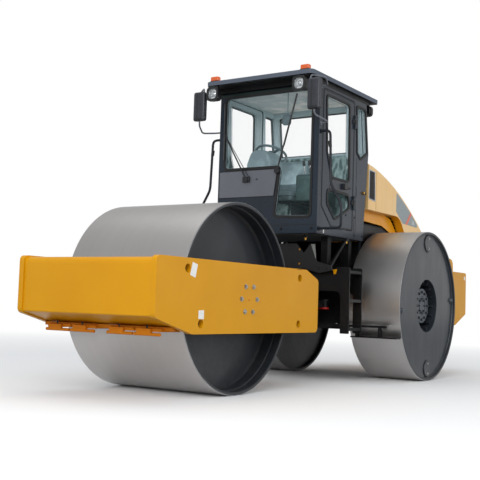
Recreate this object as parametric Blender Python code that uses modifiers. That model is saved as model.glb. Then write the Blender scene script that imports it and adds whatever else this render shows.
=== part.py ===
# A three-wheel static road roller: a wide front drum in a box frame, an articulated joint, a cab,
# two smooth rear wheels, an engine hood and a counterweight.
# Metres, +Z up, the front faces -Y and +X is the machine's left. Lengths along Y are measured from
# the front axle here, and the last section moves everything so that the origin is under the middle.
import math

import bmesh
import bpy
from mathutils import Matrix, Vector

# Gaps: between faces that touch, between pieces that pass each other, and a pin's play in its eye.
SEAT = 0.0003
PASS = 0.006
PLAY = 0.0008
SIDES = 32
ROLL_SIDES = 48

# Rolling gear. The rear wheels stand outside the chassis tub.
DRUM_RADIUS = 0.85
DRUM_WIDTH = 1.28
DRUM_SHELL = 0.03
DRUM_RING_DEPTH = 0.08
DRUM_RING = 0.012
DRUM_HEAD_DEPTH = 0.205
DRUM_HEAD = 0.025
DRUM_HUB_RADIUS = 0.20
DRUM_HUB_OUT = 0.12
DRUM_BORE = 0.14
TUB_HALF = 0.50
WHEEL_RADIUS = 0.85
WHEEL_WIDTH = 0.61
WHEEL_INNER_X = TUB_HALF + 0.044
WHEEL_OUTER_X = WHEEL_INNER_X + WHEEL_WIDTH
WHEEL_SHELL = 0.03
WHEEL_DISC_DEPTH = 0.03
WHEEL_DISC = 0.02
WHEEL_WEB_DEPTH = 0.05
HUB_OPENING = 0.30
HUB_CUP_WALL = 0.015
HUB_CUP_DEPTH = 0.19
HUB_FLANGE = 0.20
HUB_FLANGE_THICK = 0.126
HUB_BASE = 0.01
HUB_RADIUS = 0.17
HUB_INSET = 0.02
AXLE_STUB = 0.10
AXLE_TUBE = 0.14
AXLE_BANJO = 0.23
AXLE_BANJO_WIDTH = 0.34
AXLE_BANJO_CREST = 0.6
AXLE_TUBE_END_X = WHEEL_INNER_X - 0.009
AXLE_STUB_END_X = WHEEL_OUTER_X - 0.354

# Front frame around the drum. Its heights go with the drum's axle.
DRUM_GAP = 0.08
DRUM_SIDE_GAP = 0.052
PLATE = 0.05
PLATE_PROUD = 0.008
PLATE_ROUND = 0.014
PLATE_INNER_X = DRUM_WIDTH / 2 + DRUM_SIDE_GAP
PLATE_OUTER_X = PLATE_INNER_X + PLATE
BEAM_DEPTH = 0.364
BEAM_WALL = 0.03
BEAM_CORNER = 0.045
BEAM_FRONT_Y = -(DRUM_RADIUS + DRUM_GAP + BEAM_DEPTH)
REAR_BEAM_DEPTH = 0.305
REAR_BEAM_FRONT_Y = DRUM_RADIUS + DRUM_GAP
REAR_BEAM_BACK_Y = REAR_BEAM_FRONT_Y + REAR_BEAM_DEPTH
FRAME_FRONT_Y = BEAM_FRONT_Y - PLATE_PROUD
FRAME_REAR_Y = REAR_BEAM_BACK_Y + 0.031
FRAME_KNEE_Y = FRAME_FRONT_Y + 0.487
FRAME_SHOULDER_Y = FRAME_REAR_Y - 0.246
FRAME_TOP_Z = DRUM_RADIUS + 0.304
FRAME_BOTTOM_Z = DRUM_RADIUS - 0.305
FRAME_NOSE_Z = DRUM_RADIUS - 0.175
FRAME_SHOULDER_Z = DRUM_RADIUS + 0.21
BEAM_TOP_Z = FRAME_TOP_Z - 0.012
BEAM_BOTTOM_Z = FRAME_NOSE_Z + 0.007
REAR_BEAM_TOP_Z = FRAME_SHOULDER_Z
REAR_BEAM_BOTTOM_Z = FRAME_BOTTOM_Z + 0.055
CARRIER_FLANGE_RADIUS = 0.21
CARRIER_FLANGE = 0.02
CARRIER_REACH = 0.22
LIFT_HOLE = 0.036
LIFT_HOLES = (
    (FRAME_FRONT_Y + 0.398, FRAME_TOP_Z - 0.084), (FRAME_FRONT_Y + 0.594, FRAME_BOTTOM_Z + 0.084),
    (FRAME_REAR_Y - 0.373, FRAME_TOP_Z - 0.088), (FRAME_REAR_Y - 0.382, FRAME_BOTTOM_Z + 0.082),
)
FRONT_BAR = (0.04, 0.03)
FRONT_BAR_Y = BEAM_FRONT_Y + 0.294
FRONT_BLADES_X = (-DRUM_WIDTH * 0.484, -DRUM_WIDTH * 0.262, DRUM_WIDTH * 0.055, DRUM_WIDTH * 0.277)
FRONT_BLADE = (DRUM_WIDTH * 0.207, 0.024)
FRONT_BLADE_DROP = 0.015
HOLDER_TUBE = 0.013
HOLDER_TUBE_DROP = 0.045
HANGER_INSET = (0.03, 0.09)

# Articulation between front frame and rear chassis.
PIVOT_Y = REAR_BEAM_BACK_Y + 0.265
PIVOT_Z = DRUM_RADIUS - 0.025
PIVOT_PIN = 0.045
PIVOT_PIN_OUT = 0.03
LUG_REACH = 0.12
LUG_ROOT = 0.20
LUG_THICK = 0.05
KNUCKLE_HALF = 0.1145

# Steering cylinders.
ROD_EYE = (0.36, PIVOT_Y - 0.18)
BARREL_EYE = (0.28, PIVOT_Y + 0.75)
CYLINDER_Z = PIVOT_Z + 0.005
EYE_RADIUS = 0.045
EYE_HALF = 0.033
CYLINDER_LUG = 0.02
CYLINDER_LUG_RADIUS = 0.06
BARREL_RADIUS = 0.042
BARREL_BORE = 0.0255
BARREL_LENGTH = 0.58
BARREL_NECK = 0.07
SHANK_RADIUS = 0.026
ROD_RADIUS = 0.025
ROD_LENGTH = 0.60

# Rear chassis. The tub follows the rear wheels, the spine follows the articulation.
WHEEL_ROOM = 0.836
WHEELBASE = PIVOT_Y + WHEEL_ROOM + WHEEL_RADIUS
SPINE_HALF = 0.14
NOSE_HALF = 0.10
SPINE_FRONT_Y = PIVOT_Y + 0.135
SPINE_BOTTOM_Z = PIVOT_Z - 0.225
SPINE_TOP_Z = PIVOT_Z + 0.405
TUB_WALL = 0.025
TUB_FRONT_Y = PIVOT_Y + 0.90
TUB_REAR_Y = WHEELBASE + WHEEL_RADIUS + 0.164
TUB_BOTTOM_Z = WHEEL_RADIUS - AXLE_BANJO - 0.06
TUB_TOP_Z = WHEEL_RADIUS + 0.43
HOUSE_FRONT_Y = WHEELBASE - 0.506
HOUSE_REAR_Y = WHEELBASE + 0.434
HOUSE_TOP_Z = TUB_TOP_Z + 0.495
BEARER_Y = PIVOT_Y + 0.32
BEARER_DEPTH = 0.08
BEARER_BOTTOM_Z = SPINE_TOP_Z - 0.06
# A notched cross plate before the bearer: half its outline as (x, height above the spine's underside).
CROSS_PLATE = (
    (0.0, 0.58), (0.354, 0.60), (0.538, 0.552), (0.693, 0.583), (0.677, 0.629), (0.504, 0.675),
    (0.43, 0.863), (0.349, 0.763), (0.26, 0.865), (0.0, 0.865),
)
CROSS_PLATE_Y = SPINE_FRONT_Y + 0.012
CROSS_PLATE_THICK = 0.016
CAB_HALF = 0.624
POST_X = CAB_HALF - 0.124
POST_WIDTH = 0.08
REAR_POST = 0.07
ENGINE_HALF = 0.33
ENGINE_FRONT_Y = WHEELBASE + AXLE_BANJO + 0.004
ENGINE_REAR_Y = TUB_REAR_Y - 0.04
ENGINE_TOP_Z = TUB_TOP_Z + 0.34
WEIGHT_HALF = 0.95
WEIGHT_REAR_Y = TUB_REAR_Y + 0.80
WEIGHT_TOP_Z = TUB_TOP_Z + 0.03
WEIGHT_BOTTOM_Z = TUB_BOTTOM_Z + 0.06
WEIGHT_SLOPE = (0.40, 0.145)
WEIGHT_EAR_Z = WEIGHT_TOP_Z + 0.17
WEIGHT_EAR_REAR_Y = TUB_REAR_Y + 0.30

# Steps and rear scrapers.
STEP_OUTER_X = 0.85
STEP_FRONT_Y = PIVOT_Y + 0.235
STEP_REAR_Y = STEP_FRONT_Y + 0.31
STEP_PLATE = 0.015
STEP_TOP_Z = SPINE_TOP_Z - 0.01
STEP_ARM_Z = SPINE_BOTTOM_Z + 0.37
STEP_BOTTOM_Z = SPINE_BOTTOM_Z - 0.07
STEP_LEG = 0.10
TREAD_TOP_Z = STEP_TOP_Z - 0.05
TREAD_LOW_Z = STEP_BOTTOM_Z + 0.045
TREADS_Z = (TREAD_TOP_Z, (TREAD_TOP_Z + TREAD_LOW_Z) / 2, TREAD_LOW_Z)
TREAD_THICK = 0.03
SCRAPER_BLADE_Z = WHEEL_RADIUS - 0.37
SCRAPER_BLADE = 0.015
SCRAPER_BAR = (0.04, 0.025)
SCRAPER_BAR_Z = SCRAPER_BLADE_Z + 0.125
SCRAPER_BAR_Y = WHEELBASE - WHEEL_RADIUS - 0.056
SCRAPER_BAR_X = (0.30, WHEEL_OUTER_X - 0.134)
SCRAPER_BLADE_X = (WHEEL_INNER_X + 0.056, WHEEL_OUTER_X - 0.014)
SCRAPER_FOOT_X = (0.34, 0.44)
SCRAPER_HANGERS_X = (WHEEL_INNER_X + 0.116, WHEEL_OUTER_X - 0.224)
SCRAPER_HANGER = (0.02, 0.07)

# Cab. Its floor lies just below the top of the rear wheels.
CAB_WALL = 0.05
CAB_LENGTH = 1.074
CAB_HEIGHT = 1.558
CAB_FRONT_Y = PIVOT_Y - 0.084
CAB_REAR_LOW_Y = CAB_FRONT_Y + CAB_LENGTH
CAB_BOTTOM_Z = 2 * WHEEL_RADIUS - 0.15
CAB_TOP_Z = CAB_BOTTOM_Z + CAB_HEIGHT
CAB_REAR_SILL = (CAB_REAR_LOW_Y + 0.106, CAB_BOTTOM_Z + 1.0)
CAB_REAR_TOP_Y = CAB_REAR_LOW_Y + 0.029
FLOOR_THICK = 0.05
GLASS = 0.006
SCREEN_HALF = CAB_HALF - 0.079
SCREEN_TOP_Z = CAB_TOP_Z - 0.048
SCREEN = (
    (-SCREEN_HALF, CAB_BOTTOM_Z + 0.712), (SCREEN_HALF - 0.38, CAB_BOTTOM_Z + 0.712),
    (SCREEN_HALF - 0.44, CAB_BOTTOM_Z + 0.185), (SCREEN_HALF, CAB_BOTTOM_Z + 0.17),
    (SCREEN_HALF, SCREEN_TOP_Z), (-SCREEN_HALF, SCREEN_TOP_Z),
)
SCREEN_CORNER = 0.05
SCREEN_INSET = 0.01
DOOR_FRONT_Y = CAB_FRONT_Y + 0.079
DOOR_REAR_Y = CAB_REAR_LOW_Y - 0.265
DOOR_BOTTOM_Z = CAB_BOTTOM_Z + 0.09
DOOR_TOP_Z = CAB_TOP_Z - 0.033
DOOR_THICK = 0.04
DOOR_CORNER = 0.035
DOOR_CUT = (0.225, 0.20)
WINDOW_CORNER = 0.05
PANE_EDGE = 0.04
DOOR_UPPER = (
    (DOOR_FRONT_Y + 0.217, CAB_BOTTOM_Z + 0.615), (DOOR_REAR_Y - 0.10, CAB_BOTTOM_Z + 0.615),
    (DOOR_REAR_Y - 0.12, CAB_TOP_Z - 0.088), (DOOR_FRONT_Y + 0.072, CAB_TOP_Z - 0.088),
    (DOOR_FRONT_Y + 0.105, CAB_BOTTOM_Z + 0.87),
)
DOOR_LOWER = (
    (DOOR_FRONT_Y + 0.304, CAB_BOTTOM_Z + 0.175), (DOOR_REAR_Y - 0.085, CAB_BOTTOM_Z + 0.33),
    (DOOR_REAR_Y - 0.11, CAB_BOTTOM_Z + 0.47), (DOOR_FRONT_Y + 0.13, CAB_BOTTOM_Z + 0.48),
    (DOOR_FRONT_Y + 0.125, CAB_BOTTOM_Z + 0.33),
)
QUARTER = (
    (CAB_REAR_LOW_Y - 0.187, CAB_BOTTOM_Z + 0.97), (CAB_REAR_LOW_Y - 0.10, CAB_BOTTOM_Z + 0.91),
    (CAB_REAR_LOW_Y + 0.075, CAB_BOTTOM_Z + 1.005), (CAB_REAR_LOW_Y + 0.005, CAB_TOP_Z - 0.068),
    (CAB_REAR_LOW_Y - 0.215, CAB_TOP_Z - 0.068),
)
QUARTER_CORNER = 0.03
REAR_WINDOW_HALF = CAB_HALF - 0.104
REAR_WINDOW_Z = (CAB_REAR_SILL[1] + 0.02, CAB_TOP_Z - 0.068)
HINGE_X = CAB_HALF + 0.018
HINGE_Y = DOOR_REAR_Y + 0.013
HINGE_Z = (CAB_TOP_Z - 0.258, CAB_BOTTOM_Z + 0.40)
KNUCKLE = 0.014
KNUCKLE_LENGTH = 0.05
LEAF_SINK = 0.005
LEAF_LENGTH = 0.04
LOCK = ((DOOR_REAR_Y - 0.265, CAB_BOTTOM_Z + 0.52), (DOOR_REAR_Y - 0.195, CAB_BOTTOM_Z + 0.58))
LOCK_OUT = 0.035
ROOF_HALF = CAB_HALF + 0.037
ROOF_FRONT_Y = CAB_FRONT_Y - 0.2445
ROOF_REAR_Y = CAB_REAR_TOP_Y + 0.23
ROOF_TOP_Z = CAB_TOP_Z + 0.094
ROOF_THICK = 0.05
ROOF_LAP = 0.06

# Cab furniture.
SEAT_X = -0.20
SEAT_Y = CAB_REAR_LOW_Y - 0.33
SEAT_TOP_Z = CAB_BOTTOM_Z + 0.53
SEAT_HALF = 0.25
SEAT_THICK = 0.14
SEAT_BACK_HIGH = 0.42
SEAT_STAND_HALF = 0.18
CONSOLE_X = -0.23
CONSOLE_Y = CAB_FRONT_Y + CAB_LENGTH / 2 - 0.273
CONSOLE_HALF = (0.12, 0.10)
CONSOLE_TOP_Z = CAB_BOTTOM_Z + 0.70
HUMP_RADIUS = 0.19
HUMP_Z = CAB_BOTTOM_Z + 0.78
STEERING = (CONSOLE_X, CONSOLE_Y + 0.19, CAB_BOTTOM_Z + 0.94)
STEERING_RADIUS = 0.19
STEERING_RIM = 0.014
STEERING_BOSS = 0.045
STEERING_TILT = 25
STEERING_SHAFT = 0.11
COLLAR_END = 0.32

# Fittings on the cab.
MIRROR = (CAB_HALF + 0.085, ROOF_FRONT_Y - 0.0285, CAB_TOP_Z - 0.178)
MIRROR_SIZE = (0.15, 0.06, 0.32)
LAMP = (CAB_HALF - 0.09, ROOF_FRONT_Y - 0.0115, CAB_TOP_Z - 0.058)
LAMP_SIZE = (0.15, 0.09, 0.15)
STALK_HALF = 0.02
AMBER = (CAB_HALF - 0.064, ROOF_FRONT_Y + 0.0385)
AMBER_SIZE = (0.10, 0.06, 0.055)
REAR_LAMP = (CAB_HALF - 0.074, ROOF_REAR_Y - 0.048, CAB_TOP_Z - 0.033)
REAR_LAMP_SIZE = (0.11, 0.07, 0.12)
RAIL_Y = CAB_FRONT_Y + 0.034
RAIL_TUBE = 0.014
RAIL = (
    (CAB_HALF + 0.111, CAB_BOTTOM_Z + 1.06), (CAB_HALF + 0.13, CAB_BOTTOM_Z + 0.506),
    (CAB_HALF + 0.256, CAB_BOTTOM_Z + 0.29), (CAB_HALF + 0.258, CAB_BOTTOM_Z + 0.05),
)
TUBE = 0.009
WIPER_FOOT = 0.03
WIPER_OUT = 0.02
WIPER_ARM = 0.008
# Each wiper: its axle, its arm's tip and the two ends of its blade, as (x, z) on the windscreen.
WIPERS = {
    "right": ((-0.241, CAB_BOTTOM_Z + 0.591), (-0.547, CAB_BOTTOM_Z + 1.114),
              ((-0.545, CAB_BOTTOM_Z + 0.82), (-0.551, CAB_TOP_Z - 0.108))),
    "left": ((0.143, CAB_BOTTOM_Z + 0.665), (0.30, CAB_BOTTOM_Z + 1.24),
             ((0.215, CAB_BOTTOM_Z + 0.93), (0.36, CAB_TOP_Z - 0.088))),
}

# Hood: its back falls as a parabola from the cab to the counterweight.
HOOD_HALF = 0.62
HOOD_WALL = 0.02
HOOD_EDGE = 0.05
HOOD_FRONT_Y = CAB_REAR_SILL[0] + 0.034
HOOD_REAR_Y = WEIGHT_REAR_Y - 0.14
HOOD_CREST = (HOOD_FRONT_Y - 0.33, CAB_BOTTOM_Z + 0.935)
HOOD_TAIL = 0.048
HOOD_STEPS = 12
HOOD_SILL_Z = 2 * WHEEL_RADIUS + 0.225
# The arch over a rear wheel: angles in degrees at the axle, the gap to the tread, and the bend there.
ARCH = ((50.69, 0.1193, 0.20), (72.74, 0.2757, 0.25))
ARCH_FOOT = 0.22
ARCH_FLANGE = (0.025, 0.08)
# Rows of slots cut through the hood: upright ones in its sides, and cross ones in its sloping back.
SIDE_SLOTS = {"count": 6, "first_y": HOOD_FRONT_Y + 0.035, "step": 0.023, "width": 0.011,
              "low": HOOD_SILL_Z + 0.135, "high": HOOD_SILL_Z + 0.425}
BACK_SLOTS = {"count": 9, "first_y": HOOD_REAR_Y - 0.86, "step": 0.06, "width": 0.022, "half": 0.36}

PART_SETS = bpy.data.collections
SKINS = {
    "frame_yellow": ((0.66, 0.34, 0.035), 0.42, 0.0),
    "hood_yellow": ((0.78, 0.52, 0.20), 0.40, 0.0),
    "cab_grey": ((0.055, 0.065, 0.08), 0.45, 0.0),
    "black": ((0.012, 0.013, 0.015), 0.5, 0.0),
    "steel": ((0.42, 0.41, 0.40), 0.38, 1.0),
    "dark_steel": ((0.09, 0.10, 0.11), 0.5, 0.6),
    "glass": ((0.55, 0.68, 0.68), 0.05, 0.0),
    "amber": ((0.9, 0.25, 0.03), 0.25, 0.0),
    "seat": ((0.03, 0.032, 0.035), 0.8, 0.0),
    "chrome": ((0.75, 0.76, 0.78), 0.15, 1.0),
}


def clear_scene():
    for thing in list(bpy.data.objects):
        bpy.data.objects.remove(thing, do_unlink=True)


def collection(name):
    group = PART_SETS.new(name)
    bpy.context.scene.collection.children.link(group)
    return group


def skin(name):
    found = bpy.data.materials.get(name)
    if found:
        return found
    colour, roughness, metallic = SKINS[name]
    found = bpy.data.materials.new(name)
    found.use_nodes = True
    shader = found.node_tree.nodes["Principled BSDF"]
    shader.inputs["Base Color"].default_value = (*colour, 1)
    shader.inputs["Roughness"].default_value = roughness
    shader.inputs["Metallic"].default_value = metallic
    return found


clear_scene()
PARTS = collection("road_roller")
CUTTERS = collection("cutters")

# A flat outline is drawn in two of the axes and thickened along the third.
TURN = {
    "X": Matrix(((0, 0, 1, 0), (1, 0, 0, 0), (0, 1, 0, 0), (0, 0, 0, 1))),
    "Y": Matrix(((1, 0, 0, 0), (0, 0, -1, 0), (0, 1, 0, 0), (0, 0, 0, 1))),
    "Z": Matrix.Identity(4),
}
UNIT = {"X": Vector((1, 0, 0)), "Y": Vector((0, 1, 0)), "Z": Vector((0, 0, 1))}


def keep(name, bm, material):
    # Stores a bmesh, whose points are in the model's frame, as an object of the part collection.
    bmesh.ops.recalc_face_normals(bm, faces=bm.faces)
    mesh = bpy.data.meshes.new(name)
    bm.to_mesh(mesh)
    bm.free()
    mesh.materials.append(skin(material))
    made = bpy.data.objects.new(name, mesh)
    PARTS.objects.link(made)
    return made


def smooth(made, angle=32):
    made.data.shade_smooth()
    made.data.set_sharp_from_angle(angle=math.radians(angle))
    return made


def box(name, low, high, material, bevel=0.0, segments=2):
    bm = bmesh.new()
    bmesh.ops.create_cube(bm, size=1)
    low, high = Vector(low), Vector(high)
    size = high - low
    bmesh.ops.scale(bm, vec=size, verts=bm.verts)
    bmesh.ops.translate(bm, vec=(low + high) / 2, verts=bm.verts)
    if bevel:
        bmesh.ops.bevel(bm, geom=bm.edges, offset=bevel, segments=segments, profile=0.5, affect="EDGES")
    return keep(name, bm, material)


def rounded(made, reach, segments=3):
    # Rounds a plain solid's sharp edges.
    bm = bmesh.new()
    bm.from_mesh(made.data)
    bmesh.ops.dissolve_limit(bm, angle_limit=0.01, verts=bm.verts, edges=bm.edges)
    sharp = [edge for edge in bm.edges if len(edge.link_faces) == 2 and edge.calc_face_angle() > 0.7]
    bmesh.ops.bevel(bm, geom=sharp, offset=reach, segments=segments, profile=0.5, affect="EDGES")
    bm.to_mesh(made.data)
    bm.free()
    return made


def rod(name, axis, centre, radius, low, high, material, sides=SIDES, tip=None):
    # A round bar along an axis from low to high; centre gives the other two coordinates.
    bm = bmesh.new()
    bmesh.ops.create_cone(bm, cap_ends=True, segments=sides, radius1=radius,
                          radius2=radius if tip is None else tip, depth=high - low)
    bmesh.ops.transform(bm, matrix=TURN[axis], verts=bm.verts)
    place = Vector(centre)
    place["XYZ".index(axis)] = (low + high) / 2
    bmesh.ops.translate(bm, vec=place, verts=bm.verts)
    return keep(name, bm, material)


def plain_mesh(guide, material):
    # The evaluated curve or modified mesh as a closed mesh in the model's frame.
    bpy.context.view_layer.update()
    seen = guide.evaluated_get(bpy.context.evaluated_depsgraph_get())
    bm = bmesh.new()
    mesh = bpy.data.meshes.new_from_object(seen)
    bm.from_mesh(mesh)
    bmesh.ops.transform(bm, matrix=guide.matrix_world, verts=bm.verts)
    bmesh.ops.remove_doubles(bm, verts=bm.verts, dist=0.00002)
    loose = [edge for edge in bm.edges if not edge.link_faces]
    bmesh.ops.delete(bm, geom=loose, context="EDGES")
    name = guide.name
    bpy.data.objects.remove(guide, do_unlink=True)
    return keep(name, bm, material)


def plate(name, outline, axis, low, high, material, holes=()):
    curve = bpy.data.curves.new(name, "CURVE")
    curve.dimensions = "2D"
    curve.fill_mode = "BOTH"
    curve.extrude = (high - low) / 2
    for loop in (outline, *holes):
        spline = curve.splines.new("POLY")
        spline.points.add(len(loop) - 1)
        for point, (across, up) in zip(spline.points, loop):
            point.co = (across, up, 0, 1)
        spline.use_cyclic_u = True
    guide = bpy.data.objects.new(name, curve)
    PARTS.objects.link(guide)
    guide.matrix_world = Matrix.Translation(UNIT[axis] * (low + high) / 2) @ TURN[axis]
    return plain_mesh(guide, material)


def tube(name, route, radius, material, bend=0.05, detail=2):
    # A round tube through the route's points, its corners rounded.
    curve = bpy.data.curves.new(name, "CURVE")
    curve.dimensions = "3D"
    curve.bevel_depth = radius
    curve.bevel_resolution = detail
    curve.use_fill_caps = True
    points = soft_route([Vector(point) for point in route], bend)
    spline = curve.splines.new("POLY")
    spline.points.add(len(points) - 1)
    for point, place in zip(spline.points, points):
        point.co = (*place, 1)
    guide = bpy.data.objects.new(name, curve)
    PARTS.objects.link(guide)
    return plain_mesh(guide, material)


def soft_route(route, bend, steps=3):
    points = [route[0]]
    for before, corner, after in zip(route, route[1:], route[2:]):
        reach = min(bend, (before - corner).length / 2, (after - corner).length / 2)
        start = corner + (before - corner).normalized() * reach
        end = corner + (after - corner).normalized() * reach
        for step in range(steps + 1):
            share = step / steps
            points.append(start * (1 - share) ** 2 + corner * 2 * share * (1 - share) + end * share ** 2)
    points.append(route[-1])
    return points


def soft_outline(corners, radius, steps=3):
    # A closed outline of (across, up) or (across, up, own radius) with its corners rounded.
    count = len(corners)
    points = []
    for index, corner in enumerate(corners):
        here = Vector(corner[:2])
        before = Vector(corners[index - 1][:2])
        after = Vector(corners[(index + 1) % count][:2])
        bend = corner[2] if len(corner) > 2 else radius
        if not bend:
            points.append(tuple(here))
            continue
        back, ahead = (before - here).normalized(), (after - here).normalized()
        half = back.angle(ahead) / 2
        reach = min(bend / math.tan(half), (before - here).length * 0.49, (after - here).length * 0.49)
        start, end = here + back * reach, here + ahead * reach
        for step in range(steps + 1):
            share = step / steps
            points.append(tuple(start * (1 - share) ** 2 + here * 2 * share * (1 - share) + end * share ** 2))
    return points


def circle(across, up, radius, sides=24):
    turn = 2 * math.pi / sides
    return [(across + radius * math.cos(turn * step), up + radius * math.sin(turn * step))
            for step in range(sides)]


def turned(name, profile, centre, material, side=1, sides=SIDES):
    # A closed profile of (radius, x) turned about the X axis through the centre (y, z).
    mesh = bpy.data.meshes.new(name)
    points = [(radius, 0, along) for radius, along in profile]
    mesh.from_pydata(points, [(step, (step + 1) % len(points)) for step in range(len(points))], [])
    guide = bpy.data.objects.new(name, mesh)
    PARTS.objects.link(guide)
    screw = guide.modifiers.new("turn", "SCREW")
    screw.steps = sides
    screw.render_steps = sides
    screw.use_merge_vertices = True
    screw.merge_threshold = 0.00005
    guide.matrix_world = Matrix.Translation((0, *centre)) @ Matrix.Rotation(math.radians(90 * side), 4, "Y")
    return smooth(plain_mesh(guide, material))


def boolean(made, others, operation):
    for other in others:
        PARTS.objects.unlink(other)
        CUTTERS.objects.link(other)
        other.hide_render = True
        other.display_type = "WIRE"
        change = made.modifiers.new(operation.lower(), "BOOLEAN")
        change.operation = operation
        change.object = other
    return made


def unite(made, *others):
    return boolean(made, others, "UNION")


def cut(made, *others):
    return boolean(made, others, "DIFFERENCE")


def span(side, near, far):
    # The low and high ends of a stretch of X that lies between near and far on one side.
    return min(side * near, side * far), max(side * near, side * far)


def block(name, side, near, far, low, high, material, bevel=0.0):
    # A box whose X runs from near to far on one side; low and high give its (y, z) corners.
    left, right = span(side, near, far)
    return box(name, (left, *low), (right, *high), material, bevel)


SIDE_NAMES = (("left", 1), ("right", -1))
PIVOT_TOP = PIVOT_Z + KNUCKLE_HALF
PIVOT_FLOOR = PIVOT_Z - KNUCKLE_HALF


# Front drum: a shell with a stiffening ring and a deep head at each end, open at its hubs.
def front_drum():
    half = DRUM_WIDTH / 2
    inner = DRUM_RADIUS - DRUM_SHELL
    ring = half - DRUM_RING_DEPTH
    head = half - DRUM_HEAD_DEPTH
    hub = head + DRUM_HUB_OUT
    right = [
        (DRUM_BORE, head - DRUM_HEAD), (DRUM_BORE, hub), (DRUM_HUB_RADIUS, hub),
        (DRUM_HUB_RADIUS, head), (inner - DRUM_RING, head), (inner - DRUM_RING, ring),
        (inner, ring), (inner, half), (DRUM_RADIUS, half),
    ]
    left = [(radius, -along) for radius, along in reversed(right)]
    inside = [(inner - DRUM_RING, -(head - DRUM_HEAD)), (inner - DRUM_RING, head - DRUM_HEAD)]
    return turned("front_drum", right + left + inside, (0, DRUM_RADIUS), "steel", sides=ROLL_SIDES)


# Front frame: two side plates that carry the drum's bearings, a box beam before and one behind it.
def frame_outline():
    return soft_outline((
        (FRAME_FRONT_Y, FRAME_NOSE_Z, 0.05), (FRAME_KNEE_Y, FRAME_BOTTOM_Z, 0.08),
        (FRAME_REAR_Y, FRAME_BOTTOM_Z, 0.06), (FRAME_REAR_Y, FRAME_SHOULDER_Z, 0.05),
        (FRAME_SHOULDER_Y, FRAME_TOP_Z, 0.04), (FRAME_FRONT_Y, FRAME_TOP_Z, 0.05),
    ), 0.05)


def side_plate(word, side):
    holes = [circle(y, z, LIFT_HOLE, 16) for y, z in LIFT_HOLES]
    made = rounded(plate(f"side_plate_{word}", frame_outline(), "X",
                         *span(side, PLATE_INNER_X, PLATE_OUTER_X), "frame_yellow", holes), PLATE_ROUND)
    at = (0, 0, DRUM_RADIUS)
    flange = rod(f"carrier_flange_{word}", "X", at, CARRIER_FLANGE_RADIUS,
                 *span(side, PLATE_INNER_X - CARRIER_FLANGE, PLATE_INNER_X + 0.01), "dark_steel")
    stub = rod(f"carrier_stub_{word}", "X", at, DRUM_BORE - PLAY,
               *span(side, PLATE_INNER_X - CARRIER_REACH, PLATE_INNER_X + 0.01), "dark_steel")
    return unite(made, flange, stub)


def front_beam():
    back = BEAM_FRONT_Y + BEAM_DEPTH
    low = beam_underside(back)
    outline = soft_outline((
        (BEAM_FRONT_Y, BEAM_TOP_Z, BEAM_CORNER), (BEAM_FRONT_Y, BEAM_BOTTOM_Z, BEAM_CORNER),
        (back, low, 0), (back, low + BEAM_WALL, 0),
        (BEAM_FRONT_Y + BEAM_WALL, BEAM_BOTTOM_Z + BEAM_WALL, 0.02),
        (BEAM_FRONT_Y + BEAM_WALL, BEAM_TOP_Z - BEAM_WALL, 0.02),
        (back, BEAM_TOP_Z - BEAM_WALL, 0), (back, BEAM_TOP_Z, 0),
    ), 0.02)
    reach = PLATE_INNER_X - SEAT
    return plate("front_beam", outline, "X", -reach, reach, "frame_yellow")


def lug_outline(across, along, radius, root_half, root_y):
    # A lug that reaches back from the rear beam and ends round about its pin.
    turn = math.pi / 12
    tip = [(across + radius * math.cos(turn * step), along + radius * math.sin(turn * step))
           for step in range(13)]
    return [(across - root_half, root_y), (across + root_half, root_y), *tip]


def rear_beam():
    reach = PLATE_INNER_X - SEAT
    outline = soft_outline((
        (REAR_BEAM_FRONT_Y, REAR_BEAM_TOP_Z, 0), (REAR_BEAM_FRONT_Y, REAR_BEAM_TOP_Z - BEAM_WALL, 0),
        (REAR_BEAM_BACK_Y - BEAM_WALL, REAR_BEAM_TOP_Z - BEAM_WALL, 0),
        (REAR_BEAM_BACK_Y - BEAM_WALL, REAR_BEAM_BOTTOM_Z + BEAM_WALL, 0),
        (REAR_BEAM_FRONT_Y, REAR_BEAM_BOTTOM_Z + BEAM_WALL, 0), (REAR_BEAM_FRONT_Y, REAR_BEAM_BOTTOM_Z, 0),
        (REAR_BEAM_BACK_Y, REAR_BEAM_BOTTOM_Z, 0.02), (REAR_BEAM_BACK_Y, REAR_BEAM_TOP_Z, 0.02),
    ), 0.02)
    made = plate("rear_beam", outline, "X", -reach, reach, "frame_yellow")
    lugs = []
    root = REAR_BEAM_BACK_Y - BEAM_WALL / 2
    hinge = lug_outline(0, PIVOT_Y, LUG_REACH, LUG_ROOT, root)
    pin_hole = circle(0, PIVOT_Y, PIVOT_PIN + PLAY, SIDES)
    for word, low in (("top", PIVOT_TOP + SEAT), ("low", PIVOT_FLOOR - SEAT - LUG_THICK)):
        lugs.append(plate(f"hinge_lug_{word}", hinge, "Z", low, low + LUG_THICK, "frame_yellow", [pin_hole]))
    eye_gap = EYE_HALF + PLAY
    for word, side in SIDE_NAMES:
        ear = lug_outline(side * ROD_EYE[0], ROD_EYE[1], CYLINDER_LUG_RADIUS, CYLINDER_LUG_RADIUS, root)
        for level, low in (("top", CYLINDER_Z + eye_gap), ("low", CYLINDER_Z - eye_gap - CYLINDER_LUG)):
            lugs.append(plate(f"rod_lug_{level}_{word}", ear, "Z", low, low + CYLINDER_LUG, "frame_yellow"))
    return unite(made, *lugs)


def beam_underside(y):
    # The front beam's floor rises towards the front like the side plates' lower edge.
    slope = (FRAME_NOSE_Z - FRAME_BOTTOM_Z) / (FRAME_KNEE_Y - FRAME_FRONT_Y)
    return BEAM_BOTTOM_Z - slope * (y - BEAM_FRONT_Y)


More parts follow.
